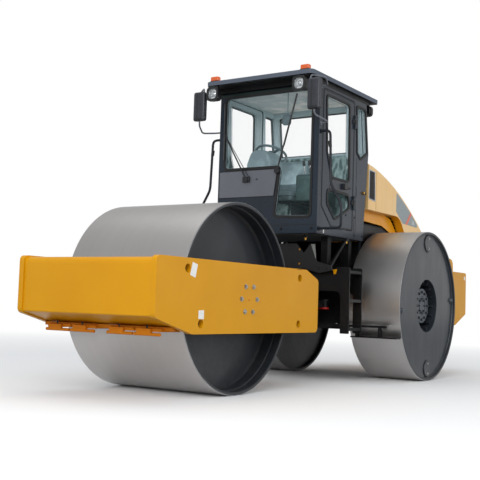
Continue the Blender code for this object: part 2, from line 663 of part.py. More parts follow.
def front_scraper():
    # Four blades in pairs on one bar under the front beam.
    bar_deep, bar_high = FRONT_BAR
    wide, thick = FRONT_BLADE
    bar_top = beam_underside(FRONT_BAR_Y + bar_deep / 2) - SEAT
    blade_top = bar_top - FRONT_BLADE_DROP
    reach = PLATE_INNER_X - SEAT
    bar = box("front_scraper", (-reach, FRONT_BAR_Y - bar_deep / 2, bar_top - bar_high),
              (reach, FRONT_BAR_Y + bar_deep / 2, bar_top), "black")
    blade_y = -math.sqrt(DRUM_RADIUS ** 2 - (DRUM_RADIUS - blade_top) ** 2) - PASS
    front = FRONT_BAR_Y - 1.5 * bar_deep
    pieces = []
    for index, near in enumerate(FRONT_BLADES_X):
        far = near + wide
        pieces.append(box(f"scraper_blade_{index}", (near, front, blade_top - thick),
                          (far, blade_y, blade_top), "frame_yellow"))
        # A hanger bent down in front of the blade, with a tube along its lower edge.
        tube_z = blade_top - HOLDER_TUBE_DROP
        hanger_near, hanger_far = near + HANGER_INSET[0], far - HANGER_INSET[1]
        pieces.append(box(f"scraper_hanger_{index}", (hanger_near, front - thick, tube_z),
                          (hanger_far, front + 0.002, blade_top - 0.001), "frame_yellow"))
        pieces.append(rod(f"holder_tube_{index}", "X", (0, front - thick / 2, tube_z), HOLDER_TUBE, near, far,
                          "frame_yellow", 16))
    return unite(bar, *pieces)


# Rear wheels: a rim with an inner web, and an outer disc with the hub cup.
def rear_wheel(word, side):
    outer, inner = WHEEL_OUTER_X, WHEEL_INNER_X
    bore = WHEEL_RADIUS - WHEEL_SHELL
    web = inner + WHEEL_WEB_DEPTH
    hub_out = outer - WHEEL_DISC_DEPTH - HUB_CUP_DEPTH
    rim = [
        (WHEEL_RADIUS, outer), (WHEEL_RADIUS, inner), (bore, inner), (bore, web),
        (HUB_RADIUS + SEAT, web), (HUB_RADIUS + SEAT, web + WHEEL_DISC), (bore, web + WHEEL_DISC),
        (bore, outer),
    ]
    centre = (WHEELBASE, WHEEL_RADIUS)
    turned(f"rear_wheel_{word}", rim, centre, "steel", side, ROLL_SIDES)
    face = outer - WHEEL_DISC_DEPTH
    cup = HUB_OPENING + HUB_CUP_WALL
    disc = [
        (bore - SEAT, face), (bore - SEAT, face - WHEEL_DISC), (cup, face - WHEEL_DISC),
        (cup, hub_out - WHEEL_DISC), (HUB_RADIUS, hub_out - WHEEL_DISC), (HUB_RADIUS, inner + HUB_INSET),
        (AXLE_STUB + PLAY, inner + HUB_INSET), (AXLE_STUB + PLAY, hub_out + HUB_BASE),
        (0, hub_out + HUB_BASE),
        (0, hub_out + HUB_FLANGE_THICK), (HUB_FLANGE, hub_out + HUB_FLANGE_THICK), (HUB_FLANGE, hub_out),
        (HUB_OPENING, hub_out),
        (HUB_OPENING, face),
    ]
    return turned(f"wheel_disc_{word}", disc, centre, "dark_steel", side, ROLL_SIDES)


def rear_axle():
    half = AXLE_BANJO_WIDTH / 2
    crest = half * AXLE_BANJO_CREST
    profile = [
        (0, -AXLE_STUB_END_X), (AXLE_STUB, -AXLE_STUB_END_X), (AXLE_STUB, -AXLE_TUBE_END_X),
        (AXLE_TUBE, -AXLE_TUBE_END_X), (AXLE_TUBE, -half), (AXLE_BANJO, -crest),
        (AXLE_BANJO, crest), (AXLE_TUBE, half), (AXLE_TUBE, AXLE_TUBE_END_X),
        (AXLE_STUB, AXLE_TUBE_END_X), (AXLE_STUB, AXLE_STUB_END_X), (0, AXLE_STUB_END_X),
    ]
    return turned("rear_axle", profile, (WHEELBASE, WHEEL_RADIUS), "black")


# Rear chassis: the articulation's knuckle, a narrow spine, and a tub for axle and engine.
def tub_side_outline():
    return soft_outline((
        (TUB_FRONT_Y, TUB_BOTTOM_Z, 0), (TUB_REAR_Y - SEAT, TUB_BOTTOM_Z, 0),
        (TUB_REAR_Y - SEAT, TUB_TOP_Z, 0),
        (HOUSE_REAR_Y + 0.10, TUB_TOP_Z, 0.05), (HOUSE_REAR_Y, HOUSE_TOP_Z - 0.15, 0.20),
        (HOUSE_REAR_Y - 0.25, HOUSE_TOP_Z, 0.20), (HOUSE_FRONT_Y + 0.05, HOUSE_TOP_Z, 0.08),
        (HOUSE_FRONT_Y, TUB_TOP_Z, 0.03), (TUB_FRONT_Y, TUB_TOP_Z, 0),
    ), 0.05)


def rear_chassis():
    knuckle = rod("rear_chassis", "Z", (0, PIVOT_Y, 0), LUG_REACH, PIVOT_FLOOR, PIVOT_TOP, "black")
    pin_reach = LUG_THICK + PIVOT_PIN_OUT
    pieces = [
        rod("pivot_pin", "Z", (0, PIVOT_Y, 0), PIVOT_PIN, PIVOT_FLOOR - pin_reach, PIVOT_TOP + pin_reach,
            "steel"),
        box("spine_nose", (-NOSE_HALF, PIVOT_Y, PIVOT_FLOOR), (NOSE_HALF, SPINE_FRONT_Y + 0.05, PIVOT_TOP),
            "black"),
        box("spine", (-SPINE_HALF, SPINE_FRONT_Y, SPINE_BOTTOM_Z),
            (SPINE_HALF, TUB_FRONT_Y + 0.01, SPINE_TOP_Z), "black"),
        box("tub_floor", (-TUB_HALF + 0.001, TUB_FRONT_Y, TUB_BOTTOM_Z),
            (TUB_HALF - 0.001, TUB_REAR_Y - SEAT, TUB_BOTTOM_Z + TUB_WALL), "black"),
        box("tub_front", (-TUB_HALF + 0.001, TUB_FRONT_Y, TUB_BOTTOM_Z + 0.001),
            (TUB_HALF - 0.001, TUB_FRONT_Y + TUB_WALL, TUB_TOP_Z - 0.001), "black"),
        box("tub_rear", (-TUB_HALF + 0.001, TUB_REAR_Y - SEAT - TUB_WALL, TUB_BOTTOM_Z + 0.001),
            (TUB_HALF - 0.001, TUB_REAR_Y - SEAT - 0.001, TUB_TOP_Z - 0.001), "black"),
        box("bearer", (-POST_X - POST_WIDTH / 2, BEARER_Y, BEARER_BOTTOM_Z),
            (POST_X + POST_WIDTH / 2, BEARER_Y + BEARER_DEPTH, SPINE_TOP_Z + 0.02), "black"),
    ]
    half_plate = [(x, SPINE_BOTTOM_Z + rise) for x, rise in CROSS_PLATE if x]
    low_z, high_z = SPINE_BOTTOM_Z + CROSS_PLATE[0][1], SPINE_BOTTOM_Z + CROSS_PLATE[-1][1]
    mirrored = [(-x, z) for x, z in reversed(half_plate)]
    cross = [(0, low_z), *half_plate, (0, high_z), *mirrored]
    pieces.append(plate("cross_plate", cross, "Y", CROSS_PLATE_Y, CROSS_PLATE_Y + CROSS_PLATE_THICK, "black"))
    for word, side in SIDE_NAMES:
        hole = circle(WHEELBASE, WHEEL_RADIUS, AXLE_TUBE + SEAT, SIDES)
        near, far = TUB_HALF - TUB_WALL, TUB_HALF
        pieces.append(plate(f"tub_side_{word}", tub_side_outline(), "X", *span(side, near, far), "black",
                            [hole]))
        lows = (POST_X - POST_WIDTH / 2, POST_X + POST_WIDTH / 2)
        pieces.append(block(f"front_post_{word}", side, *lows, (BEARER_Y + 0.001, SPINE_TOP_Z),
                            (BEARER_Y + BEARER_DEPTH - 0.001, CAB_BOTTOM_Z - SEAT), "black"))
        pieces.append(block(f"rear_post_{word}", side, TUB_HALF - POST_WIDTH, TUB_HALF - 0.002,
                            (TUB_FRONT_Y + 0.001, TUB_TOP_Z - 0.02),
                            (TUB_FRONT_Y + REAR_POST, CAB_BOTTOM_Z - SEAT), "black"))
        eye_gap = EYE_HALF + PLAY
        x, y = BARREL_EYE
        for level, low in (("top", CYLINDER_Z + eye_gap), ("low", CYLINDER_Z - eye_gap - CYLINDER_LUG)):
            ear = [(side * (SPINE_HALF - 0.01), y - CYLINDER_LUG_RADIUS),
                   *[(side * (x + CYLINDER_LUG_RADIUS * math.cos(math.pi * step / 12)),
                      y + CYLINDER_LUG_RADIUS * math.sin(math.pi * step / 12)) for step in range(-6, 7)],
                   (side * (SPINE_HALF - 0.01), y + CYLINDER_LUG_RADIUS)]
            pieces.append(plate(f"barrel_lug_{level}_{word}", ear, "Z", low, low + CYLINDER_LUG, "black"))
    return unite(knuckle, *pieces)


def steering_cylinder(word, side):
    base = Vector((side * BARREL_EYE[0], BARREL_EYE[1], CYLINDER_Z))
    eye = Vector((side * ROD_EYE[0], ROD_EYE[1], CYLINDER_Z))
    along = (eye - base).normalized()
    place = Matrix.Translation(base) @ Vector((0, 0, 1)).rotation_difference(along).to_matrix().to_4x4()
    length = (eye - base).length
    neck = BARREL_NECK

    def spindle(name, at, radius, low, high, material):
        made = rod(name, "Z", (0, 0, 0), radius, low, high, material, 24)
        made.data.transform(at)
        return made

    barrel = spindle(f"steering_barrel_{word}", place, BARREL_RADIUS, neck, BARREL_LENGTH, "black")
    eye_end = rod(f"barrel_eye_{word}", "Z", base, EYE_RADIUS, CYLINDER_Z - EYE_HALF, CYLINDER_Z + EYE_HALF,
                  "black", 24)
    shank = spindle(f"barrel_shank_{word}", place, SHANK_RADIUS, 0.01, neck + 0.01, "black")
    bore = spindle(f"barrel_bore_{word}", place, BARREL_BORE, neck + 0.02, BARREL_LENGTH + 0.01, "black")
    cut(unite(barrel, eye_end, shank), bore)
    shaft = spindle(f"steering_rod_{word}", place, ROD_RADIUS, length - ROD_LENGTH, length - 0.01, "chrome")
    tip = rod(f"rod_eye_{word}", "Z", eye, EYE_RADIUS, CYLINDER_Z - EYE_HALF, CYLINDER_Z + EYE_HALF,
              "black", 24)
    unite(shaft, tip)
    return barrel, shaft


def engine_block():
    return box("engine_block", (-ENGINE_HALF, ENGINE_FRONT_Y, TUB_BOTTOM_Z + TUB_WALL + SEAT),
               (ENGINE_HALF, ENGINE_REAR_Y, ENGINE_TOP_Z), "dark_steel", 0.03)


def counterweight():
    back, rise = WEIGHT_SLOPE
    outline = soft_outline((
        (TUB_REAR_Y, WEIGHT_BOTTOM_Z, 0), (WEIGHT_REAR_Y - back, WEIGHT_BOTTOM_Z, 0.05),
        (WEIGHT_REAR_Y, WEIGHT_BOTTOM_Z + rise, 0.02),
        (WEIGHT_REAR_Y, WEIGHT_TOP_Z, 0.03), (TUB_REAR_Y, WEIGHT_TOP_Z, 0),
    ), 0.02)
    made = plate("counterweight", outline, "X", -WEIGHT_HALF, WEIGHT_HALF, "frame_yellow")
    ears = []
    for word, side in SIDE_NAMES:
        ear = soft_outline((
            (TUB_REAR_Y, WEIGHT_TOP_Z - 0.05, 0), (WEIGHT_EAR_REAR_Y, WEIGHT_TOP_Z - 0.05, 0),
            (WEIGHT_EAR_REAR_Y, WEIGHT_EAR_Z - 0.02, 0.10), (TUB_REAR_Y, WEIGHT_EAR_Z, 0.02),
        ), 0.02)
        ears.append(plate(f"weight_ear_{word}", ear, "X",
                          *span(side, HOOD_HALF + HOOD_WALL, WEIGHT_HALF - 0.001), "frame_yellow"))
    return unite(made, *ears)


# Hood: a shell over the engine, open below, with arches over the rear wheels.
def hood_back(y):
    crest_y, crest_z = HOOD_CREST
    fall = (crest_z - WEIGHT_TOP_Z - HOOD_TAIL) / (HOOD_REAR_Y - crest_y) ** 2
    return crest_z - fall * (y - crest_y) ** 2


def hood_outline(front, rear, drop, floor_z):
    tops = [rear + (front - rear) * step / HOOD_STEPS for step in range(HOOD_STEPS + 1)]
    return [(y, hood_back(y) - drop) for y in tops] + [(front, floor_z), (rear, floor_z)]


def slots(name, count, first_y, step, width, reach, heights):
    # One cutter made of upright boxes a step apart; heights gives each box's low and high z at its y.
    bm = bmesh.new()
    for index in range(count):
        y = first_y + index * step
        low, high = heights(y)
        made = bmesh.ops.create_cube(bm, size=1)["verts"]
        bmesh.ops.scale(bm, vec=(2 * reach, width, high - low), verts=made)
        bmesh.ops.translate(bm, vec=(0, y + width / 2, (low + high) / 2), verts=made)
    return keep(name, bm, "black")


def side_slots():
    row = SIDE_SLOTS
    return slots("side_slots", row["count"], row["first_y"], row["step"], row["width"], HOOD_HALF + 0.02,
                 lambda y: (row["low"], row["high"]))


def back_slots():
    row = BACK_SLOTS
    return slots("back_slots", row["count"], row["first_y"], row["step"], row["width"], row["half"],
                 lambda y: (hood_back(y) - 3 * HOOD_WALL, hood_back(y) + HOOD_WALL))


def hood():
    floor_z = WEIGHT_TOP_Z + SEAT
    made = plate("hood", hood_outline(HOOD_FRONT_Y, HOOD_REAR_Y, 0, floor_z), "X", -HOOD_HALF, HOOD_HALF,
                 "hood_yellow")
    bm = bmesh.new()
    bm.from_mesh(made.data)
    rims = [edge for edge in bm.edges if all(abs(abs(v.co.x) - HOOD_HALF) < 0.001 for v in edge.verts)
            and edge.verts[0].co.z > floor_z + 0.01 and edge.verts[1].co.z > floor_z + 0.01
            and edge.verts[0].co.x * edge.verts[1].co.x > 0 and len(edge.link_faces) == 2
            and edge.calc_face_angle() > 0.5]
    bmesh.ops.bevel(bm, geom=rims, offset=HOOD_EDGE, segments=3, profile=0.5, affect="EDGES")
    bm.to_mesh(made.data)
    bm.free()
    reach = HOOD_HALF - HOOD_WALL
    inner = plate("hood_space", hood_outline(HOOD_FRONT_Y + HOOD_WALL, HOOD_REAR_Y - HOOD_WALL, HOOD_WALL,
                                             floor_z - 0.05), "X", -reach, reach, "hood_yellow")
    bends = []
    for angle, gap, bend in ARCH:
        turn, far = math.radians(angle), WHEEL_RADIUS + gap
        bends.append((WHEELBASE + far * math.cos(turn), WHEEL_RADIUS + far * math.sin(turn), bend))
    foot_y = TUB_REAR_Y - ARCH_FOOT
    arch = soft_outline((
        (HOOD_FRONT_Y - 0.05, floor_z - 0.1, 0), (foot_y, floor_z - 0.1, 0), (foot_y, floor_z, 0.02), *bends,
        (HOOD_FRONT_Y - 0.05, HOOD_SILL_Z, 0),
    ), 0.05, 4)
    wheel_gap = plate("hood_arch", arch, "X", -HOOD_HALF - 0.01, HOOD_HALF + 0.01, "hood_yellow")
    thick, deep = ARCH_FLANGE
    flange = grown(arch, thick)
    # The space inside leaves a flange standing round each arch.
    cut(inner, *[plate(f"arch_flange_{word}", flange, "X", *span(side, reach - deep, HOOD_HALF + 0.01),
                       "hood_yellow") for word, side in SIDE_NAMES])
    return cut(made, inner, wheel_gap, side_slots(), back_slots())


# Steps and scrapers.
def steps(word, side):
    x = STEP_OUTER_X
    near = SPINE_HALF + SEAT
    outline = soft_outline((
        (side * near, STEP_ARM_Z, 0), (side * (x - STEP_LEG), STEP_ARM_Z, 0.08),
        (side * (x - STEP_LEG), STEP_BOTTOM_Z, 0.01), (side * x, STEP_BOTTOM_Z, 0.01),
        (side * x, STEP_TOP_Z, 0.02), (side * (x - 0.14), STEP_TOP_Z, 0.02),
        (side * (x - 0.34), STEP_TOP_Z - 0.07, 0.03), (side * near, STEP_TOP_Z - 0.07, 0),
    ), 0.02)
    made = plate(f"steps_{word}", outline, "Y", STEP_FRONT_Y, STEP_FRONT_Y + STEP_PLATE, "black")
    back = plate(f"step_back_{word}", outline, "Y", STEP_REAR_Y - STEP_PLATE, STEP_REAR_Y, "black")
    treads = [block(f"tread_{word}_{index}", side, x - STEP_LEG + 0.008, x - 0.004,
                    (STEP_FRONT_Y + 0.005, z - TREAD_THICK / 2),
                    (STEP_REAR_Y - 0.005, z + TREAD_THICK / 2), "black")
              for index, z in enumerate(TREADS_Z)]
    return unite(made, back, *treads)


def tread_front(z):
    # How far forward the rear wheel's tread reaches at a height.
    return WHEELBASE - math.sqrt(WHEEL_RADIUS ** 2 - (WHEEL_RADIUS - z) ** 2)


def rear_scraper(word, side):
    bar_deep, bar_high = SCRAPER_BAR
    low, high = SCRAPER_BAR_Z - bar_high / 2, SCRAPER_BAR_Z + bar_high / 2
    blade_top = SCRAPER_BLADE_Z + SCRAPER_BLADE
    made = block(f"rear_scraper_{word}", side, *SCRAPER_BAR_X, (SCRAPER_BAR_Y, low),
                 (SCRAPER_BAR_Y + bar_deep, high), "black")
    pieces = [
        block(f"scraper_blade_{word}", side, *SCRAPER_BLADE_X, (SCRAPER_BAR_Y + 0.005, SCRAPER_BLADE_Z),
              (tread_front(blade_top) - PASS, blade_top), "black"),
        block(f"scraper_foot_{word}", side, *SCRAPER_FOOT_X, (SCRAPER_BAR_Y + 0.01, low + 0.002),
              (TUB_FRONT_Y - SEAT, high - 0.002), "black"),
    ]
    thick, deep = SCRAPER_HANGER
    for index, x in enumerate(SCRAPER_HANGERS_X):
        pieces.append(block(f"scraper_hanger_{word}_{index}", side, x, x + thick,
                            (SCRAPER_BAR_Y + 0.002, blade_top - 0.004), (SCRAPER_BAR_Y + deep, low + 0.01),
                            "black"))
    return unite(made, *pieces)


# Cab: floor, four walls with their windows, roof and glazing.
def cab_side_outline():
    return [
        (CAB_FRONT_Y + CAB_WALL + SEAT, CAB_BOTTOM_Z), (CAB_REAR_LOW_Y, CAB_BOTTOM_Z), CAB_REAR_SILL,
        (CAB_REAR_TOP_Y, CAB_TOP_Z), (CAB_FRONT_Y + CAB_WALL + SEAT, CAB_TOP_Z),
    ]


def cab_floor():
    reach = CAB_HALF - CAB_WALL - SEAT
    front, back = CAB_FRONT_Y + CAB_WALL + SEAT, CAB_REAR_LOW_Y - CAB_WALL - SEAT
    made = box("cab_floor", (-reach, front, CAB_BOTTOM_Z), (reach, back, CAB_BOTTOM_Z + FLOOR_THICK),
               "cab_grey")
    half = SEAT_STAND_HALF
    stand = box("seat_stand", (SEAT_X - half, SEAT_Y - half, CAB_BOTTOM_Z + 0.01),
                (SEAT_X + half, SEAT_Y + half, SEAT_TOP_Z - SEAT_THICK), "black")
    return unite(made, stand)


def cab_front():
    outline = [(-CAB_HALF, CAB_BOTTOM_Z), (CAB_HALF, CAB_BOTTOM_Z), (CAB_HALF, CAB_TOP_Z),
               (-CAB_HALF, CAB_TOP_Z)]
    opening = soft_outline(SCREEN, SCREEN_CORNER)
    plate("cab_front", outline, "Y", CAB_FRONT_Y, CAB_FRONT_Y + CAB_WALL, "cab_grey", [opening])
    pane = soft_outline(grown(SCREEN, -SEAT), SCREEN_CORNER)
    face = CAB_FRONT_Y + SCREEN_INSET
    return plate("windscreen", pane, "Y", face, face + GLASS, "glass")


def grown(corners, reach):
    # The outline moved outwards by reach on every side; it may run either way round.
    count = len(corners)
    area = sum(corners[i - 1][0] * corners[i][1] - corners[i][0] * corners[i - 1][1] for i in range(count))
    turn = 1 if area > 0 else -1
    made = []
    for index in range(count):
        here = Vector(corners[index])
        back = (here - Vector(corners[index - 1])).normalized()
        ahead = (Vector(corners[(index + 1) % count]) - here).normalized()
        out = Vector((back.y + ahead.y, -back.x - ahead.x)).normalized() * turn
        lean = out.dot(Vector((back.y, -back.x)) * turn)
        made.append(tuple(here + out * reach / lean))
    return made


def door_gap():
    # The front lower corner is cut off at an angle.
    back, rise = DOOR_CUT
    return [(DOOR_FRONT_Y, DOOR_BOTTOM_Z + rise), (DOOR_FRONT_Y + back, DOOR_BOTTOM_Z),
            (DOOR_REAR_Y, DOOR_BOTTOM_Z), (DOOR_REAR_Y, DOOR_TOP_Z), (DOOR_FRONT_Y, DOOR_TOP_Z)]


def cab_side(word, side):
    inner, outer = CAB_HALF - CAB_WALL, CAB_HALF
    holes = [soft_outline(grown(door_gap(), PASS), DOOR_CORNER + PASS), soft_outline(QUARTER, QUARTER_CORNER)]
    made = plate(f"cab_side_{word}", cab_side_outline(), "X", *span(side, inner, outer), "cab_grey", holes)
    knuckles = []
    for index, z in enumerate(HINGE_Z):
        for level, low in (("top", z + KNUCKLE_LENGTH / 2 + SEAT), ("low", z - 1.5 * KNUCKLE_LENGTH - SEAT)):
            high = low + KNUCKLE_LENGTH
            name = f"{word}_{index}_{level}"
            knuckles.append(rod(f"side_knuckle_{name}", "Z", (side * HINGE_X, HINGE_Y, 0), KNUCKLE, low, high,
                                "black", 16))
            knuckles.append(block(f"side_leaf_{name}", side, CAB_HALF - LEAF_SINK, HINGE_X,
                                  (HINGE_Y, low + 0.001), (HINGE_Y + LEAF_LENGTH, high - 0.001), "black"))
    unite(made, *knuckles)
    pane = soft_outline(grown(QUARTER, -SEAT), QUARTER_CORNER)
    face = CAB_HALF - 0.02
    return plate(f"quarter_glass_{word}", pane, "X", *span(side, face, face + GLASS), "glass")


def cab_rear():
    sill_y, sill_z = CAB_REAR_SILL
    reach = CAB_HALF - CAB_WALL - SEAT
    outline = [
        (CAB_REAR_LOW_Y, CAB_BOTTOM_Z), (sill_y, sill_z), (CAB_REAR_TOP_Y, CAB_TOP_Z),
        (CAB_REAR_TOP_Y - CAB_WALL, CAB_TOP_Z), (sill_y - CAB_WALL, sill_z),
        (CAB_REAR_LOW_Y - CAB_WALL, CAB_BOTTOM_Z),
    ]
    made = plate("cab_rear", outline, "X", -reach, reach, "cab_grey")
    half = REAR_WINDOW_HALF
    low, high = REAR_WINDOW_Z
    window = box("rear_window_gap", (-half, sill_y - 0.3, low), (half, sill_y + 0.2, high), "glass")
    cut(made, window)
    lean = (CAB_REAR_TOP_Y - sill_y) / (CAB_TOP_Z - sill_z)
    low, high = low + SEAT, high - SEAT
    mid = sill_y - CAB_WALL / 2
    pane = [(mid + lean * (low - sill_z), low), (mid + lean * (low - sill_z) + GLASS, low),
            (mid + lean * (high - sill_z) + GLASS, high), (mid + lean * (high - sill_z), high)]
    return plate("rear_glass", pane, "X", -half + SEAT, half - SEAT, "glass")


def cab_roof():
    outline = soft_outline((
        (-ROOF_HALF, ROOF_FRONT_Y, 0.06), (ROOF_HALF, ROOF_FRONT_Y, 0.06), (ROOF_HALF, ROOF_REAR_Y, 0.03),
        (-ROOF_HALF, ROOF_REAR_Y, 0.03),
    ), 0.06)
    made = plate("cab_roof", outline, "Z", ROOF_TOP_Z - ROOF_THICK, ROOF_TOP_Z, "cab_grey")
    frame = box("roof_frame", (-CAB_HALF, CAB_FRONT_Y - ROOF_LAP, CAB_TOP_Z + SEAT),
                (CAB_HALF, CAB_REAR_TOP_Y + ROOF_LAP, ROOF_TOP_Z - ROOF_THICK + 0.01), "cab_grey")
    return unite(made, frame)


def door(word, side):
    outer = CAB_HALF
    inner = outer - DOOR_THICK
    holes = [soft_outline(DOOR_UPPER, WINDOW_CORNER), soft_outline(DOOR_LOWER, WINDOW_CORNER)]
    panel = plate(f"door_{word}", soft_outline(door_gap(), DOOR_CORNER), "X", *span(side, inner, outer),
                  "cab_grey", holes)
    pieces = []
    for index, z in enumerate(HINGE_Z):
        low, high = z - KNUCKLE_LENGTH / 2, z + KNUCKLE_LENGTH / 2
        pieces.append(rod(f"door_knuckle_{word}_{index}", "Z", (side * HINGE_X, HINGE_Y, 0), KNUCKLE, low,
                          high, "black", 16))
        pieces.append(block(f"door_leaf_{word}_{index}", side, CAB_HALF - LEAF_SINK, CAB_HALF + 0.012,
                            (HINGE_Y - 0.06, low + 0.001), (DOOR_REAR_Y - 0.002, high - 0.001), "black"))
        pieces.append(block(f"door_neck_{word}_{index}", side, CAB_HALF + 0.005, HINGE_X,
                            (DOOR_REAR_Y - 0.02, low + 0.002), (HINGE_Y, high - 0.002), "black"))
    pieces.append(block(f"door_lock_{word}", side, outer - LEAF_SINK, outer + LOCK_OUT, *LOCK, "black"))
    unite(panel, *pieces)
    edge = grown(door_gap(), -PANE_EDGE)
    glass = plate(f"door_glass_{word}", edge, "X", *span(side, inner - SEAT - GLASS, inner - SEAT), "glass")
    return panel, glass


# Cab furniture.
def seat():
    top, half = SEAT_TOP_Z, SEAT_HALF
    cushion = box("seat", (SEAT_X - half, SEAT_Y - 0.27, top - SEAT_THICK + SEAT),
                  (SEAT_X + half, SEAT_Y + 0.22, top), "seat", 0.04)
    back = box("seat_back", (SEAT_X - half + 0.01, SEAT_Y + 0.10, top - 0.06),
               (SEAT_X + half - 0.01, SEAT_Y + 0.24, top + SEAT_BACK_HIGH), "seat", 0.04)
    return unite(cushion, back)


def console():
    floor_z = CAB_BOTTOM_Z + FLOOR_THICK + SEAT
    wide, deep = CONSOLE_HALF
    column = box("console", (CONSOLE_X - wide, CONSOLE_Y - deep, floor_z),
                 (CONSOLE_X + wide, CONSOLE_Y + deep, CONSOLE_TOP_Z), "black", 0.02)
    hump = rod("console_hump", "Y", (CONSOLE_X, 0, HUMP_Z), HUMP_RADIUS, CONSOLE_Y - 0.12, CONSOLE_Y + deep,
               "black")
    collar = rod("console_collar", "Z", (0, 0, 0), 0.035, -COLLAR_END, -STEERING_SHAFT - SEAT, "black", 16)
    collar.data.transform(steering_place())
    return unite(column, hump, collar)


def steering_place():
    return Matrix.Translation(STEERING) @ Matrix.Rotation(math.radians(-STEERING_TILT), 4, "X")


def steering_wheel():
    ring = circle(STEERING_RADIUS - STEERING_RIM, 0, STEERING_RIM, 8)
    made = turned("steering_wheel", ring, (0, 0), "black", sides=24)
    made.data.transform(Matrix.Rotation(math.radians(90), 4, "Y"))
    low = -STEERING_RIM / 2
    pieces = [
        rod("steering_boss", "Z", (0, 0, 0), STEERING_BOSS, -0.03, 0.02, "black", 24),
        rod("steering_shaft", "Z", (0, 0, 0), STEERING_BOSS / 2, -STEERING_SHAFT, -0.02, "black", 16),
    ]
    for index in range(3):
        spoke = box(f"steering_spoke_{index}", (0.01, -STEERING_RIM, low),
                    (STEERING_RADIUS - STEERING_RIM, STEERING_RIM, -low), "black")
        spoke.data.transform(Matrix.Rotation(math.radians(90 + 120 * index), 4, "Z"))
        pieces.append(spoke)
    for piece in (made, *pieces):
        piece.data.transform(steering_place())
    return unite(made, *pieces)


# Fittings on the cab.
def mirror(word, side):
    x, y, z = MIRROR
    wide, deep, high = MIRROR_SIZE
    left, right = span(side, x - wide / 2, x + wide / 2)
    head = box(f"mirror_{word}", (left, y - deep / 2, z - high / 2), (right, y + deep / 2, z + high / 2),
               "black", 0.02)
    wall, bend_x = side * (CAB_HALF + SEAT), side * (CAB_HALF + 0.07)
    seat_y = CAB_FRONT_Y + CAB_WALL / 2
    top, floor = z + high / 2, z - high / 2
    upper = tube(f"mirror_arm_{word}", (
        (side * x, y, top - 0.02), (side * x, y, top + 0.05), (side * (x + 0.09), y + 0.10, top + 0.01),
        (bend_x, seat_y, top - 0.01), (wall, seat_y, top - 0.01),
    ), TUBE, "black", 0.04)
    lower = tube(f"mirror_stay_{word}", (
        (side * x, y, floor + 0.02), (side * x, y, floor - 0.05), (side * (x + 0.07), y + 0.16, floor - 0.10),
        (bend_x, seat_y, floor - 0.08), (wall, seat_y, floor - 0.08),
    ), TUBE, "black", 0.04)
    return unite(head, upper, lower)


def work_lamp(word, side):
    x, y, z = LAMP
    wide, deep, high = LAMP_SIZE
    left, right = span(side, x - wide / 2, x + wide / 2)
    head = box(f"work_lamp_{word}", (left, y - deep / 2, z - high / 2), (right, y + deep / 2, z + high / 2),
               "black", 0.025)
    stalk = block(f"lamp_stalk_{word}", side, x - STALK_HALF, x + STALK_HALF, (ROOF_FRONT_Y + 0.015, z),
                  (ROOF_FRONT_Y + 0.05, ROOF_TOP_Z - ROOF_THICK - SEAT), "black")
    return unite(head, stalk)


def amber_lamp(word, side):
    x, y = AMBER
    wide, deep, high = AMBER_SIZE
    left, right = span(side, x - wide / 2, x + wide / 2)
    low = ROOF_TOP_Z + SEAT
    return box(f"amber_lamp_{word}", (left, y - deep / 2, low), (right, y + deep / 2, low + high), "amber",
               0.012)


def rear_lamp(word, side):
    x, y, z = REAR_LAMP
    wide, deep, high = REAR_LAMP_SIZE
    left, right = span(side, x - wide / 2, x + wide / 2)
    top = ROOF_TOP_Z - ROOF_THICK - SEAT
    head = box(f"rear_lamp_{word}", (left, y - deep / 2, z - high / 2), (right, y + deep / 2, z + high / 2),
               "black", 0.02)
    stalk = block(f"rear_lamp_stalk_{word}", side, x - STALK_HALF, x + STALK_HALF, (y - 0.015, z),
                  (y + 0.015, top), "black")
    return unite(head, stalk)


def grab_rail(word, side):
    wall = CAB_HALF + SEAT
    route = ((wall, RAIL[0][1]), *RAIL, (wall, RAIL[-1][1]))
    return tube(f"grab_rail_{word}", [(side * x, RAIL_Y, z) for x, z in route], RAIL_TUBE, "black", 0.05)


def wiper(name, axle, tip, blade_ends):
    # Points are (x, z) on the windscreen; the arm runs from its axle to the blade.
    y = CAB_FRONT_Y - WIPER_OUT
    foot = rod(name, "Y", (axle[0], 0, axle[1]), WIPER_FOOT, y - 0.02, CAB_FRONT_Y - SEAT, "black", 16)
    arm_y = y - 0.005
    arm = tube(f"{name}_arm", ((axle[0], arm_y, axle[1]), (tip[0], arm_y, tip[1])), WIPER_ARM, "black")
    start, end = blade_ends
    blade = tube(f"{name}_blade", ((start[0], y, start[1]), (end[0], y, end[1])), TUBE, "black")
    return unite(foot, arm, blade)


def pivot(name, place, parent=None):
    empty = bpy.data.objects.new(name, None)
    empty.empty_display_size = 0.2
    PARTS.objects.link(empty)
    empty.location = place
    if parent:
        attach(parent, empty)
    return empty


def attach(carrier, *pieces):
    bpy.context.view_layer.update()
    for piece in pieces:
        piece.parent = carrier
        piece.matrix_parent_inverse = carrier.matrix_world.inverted()


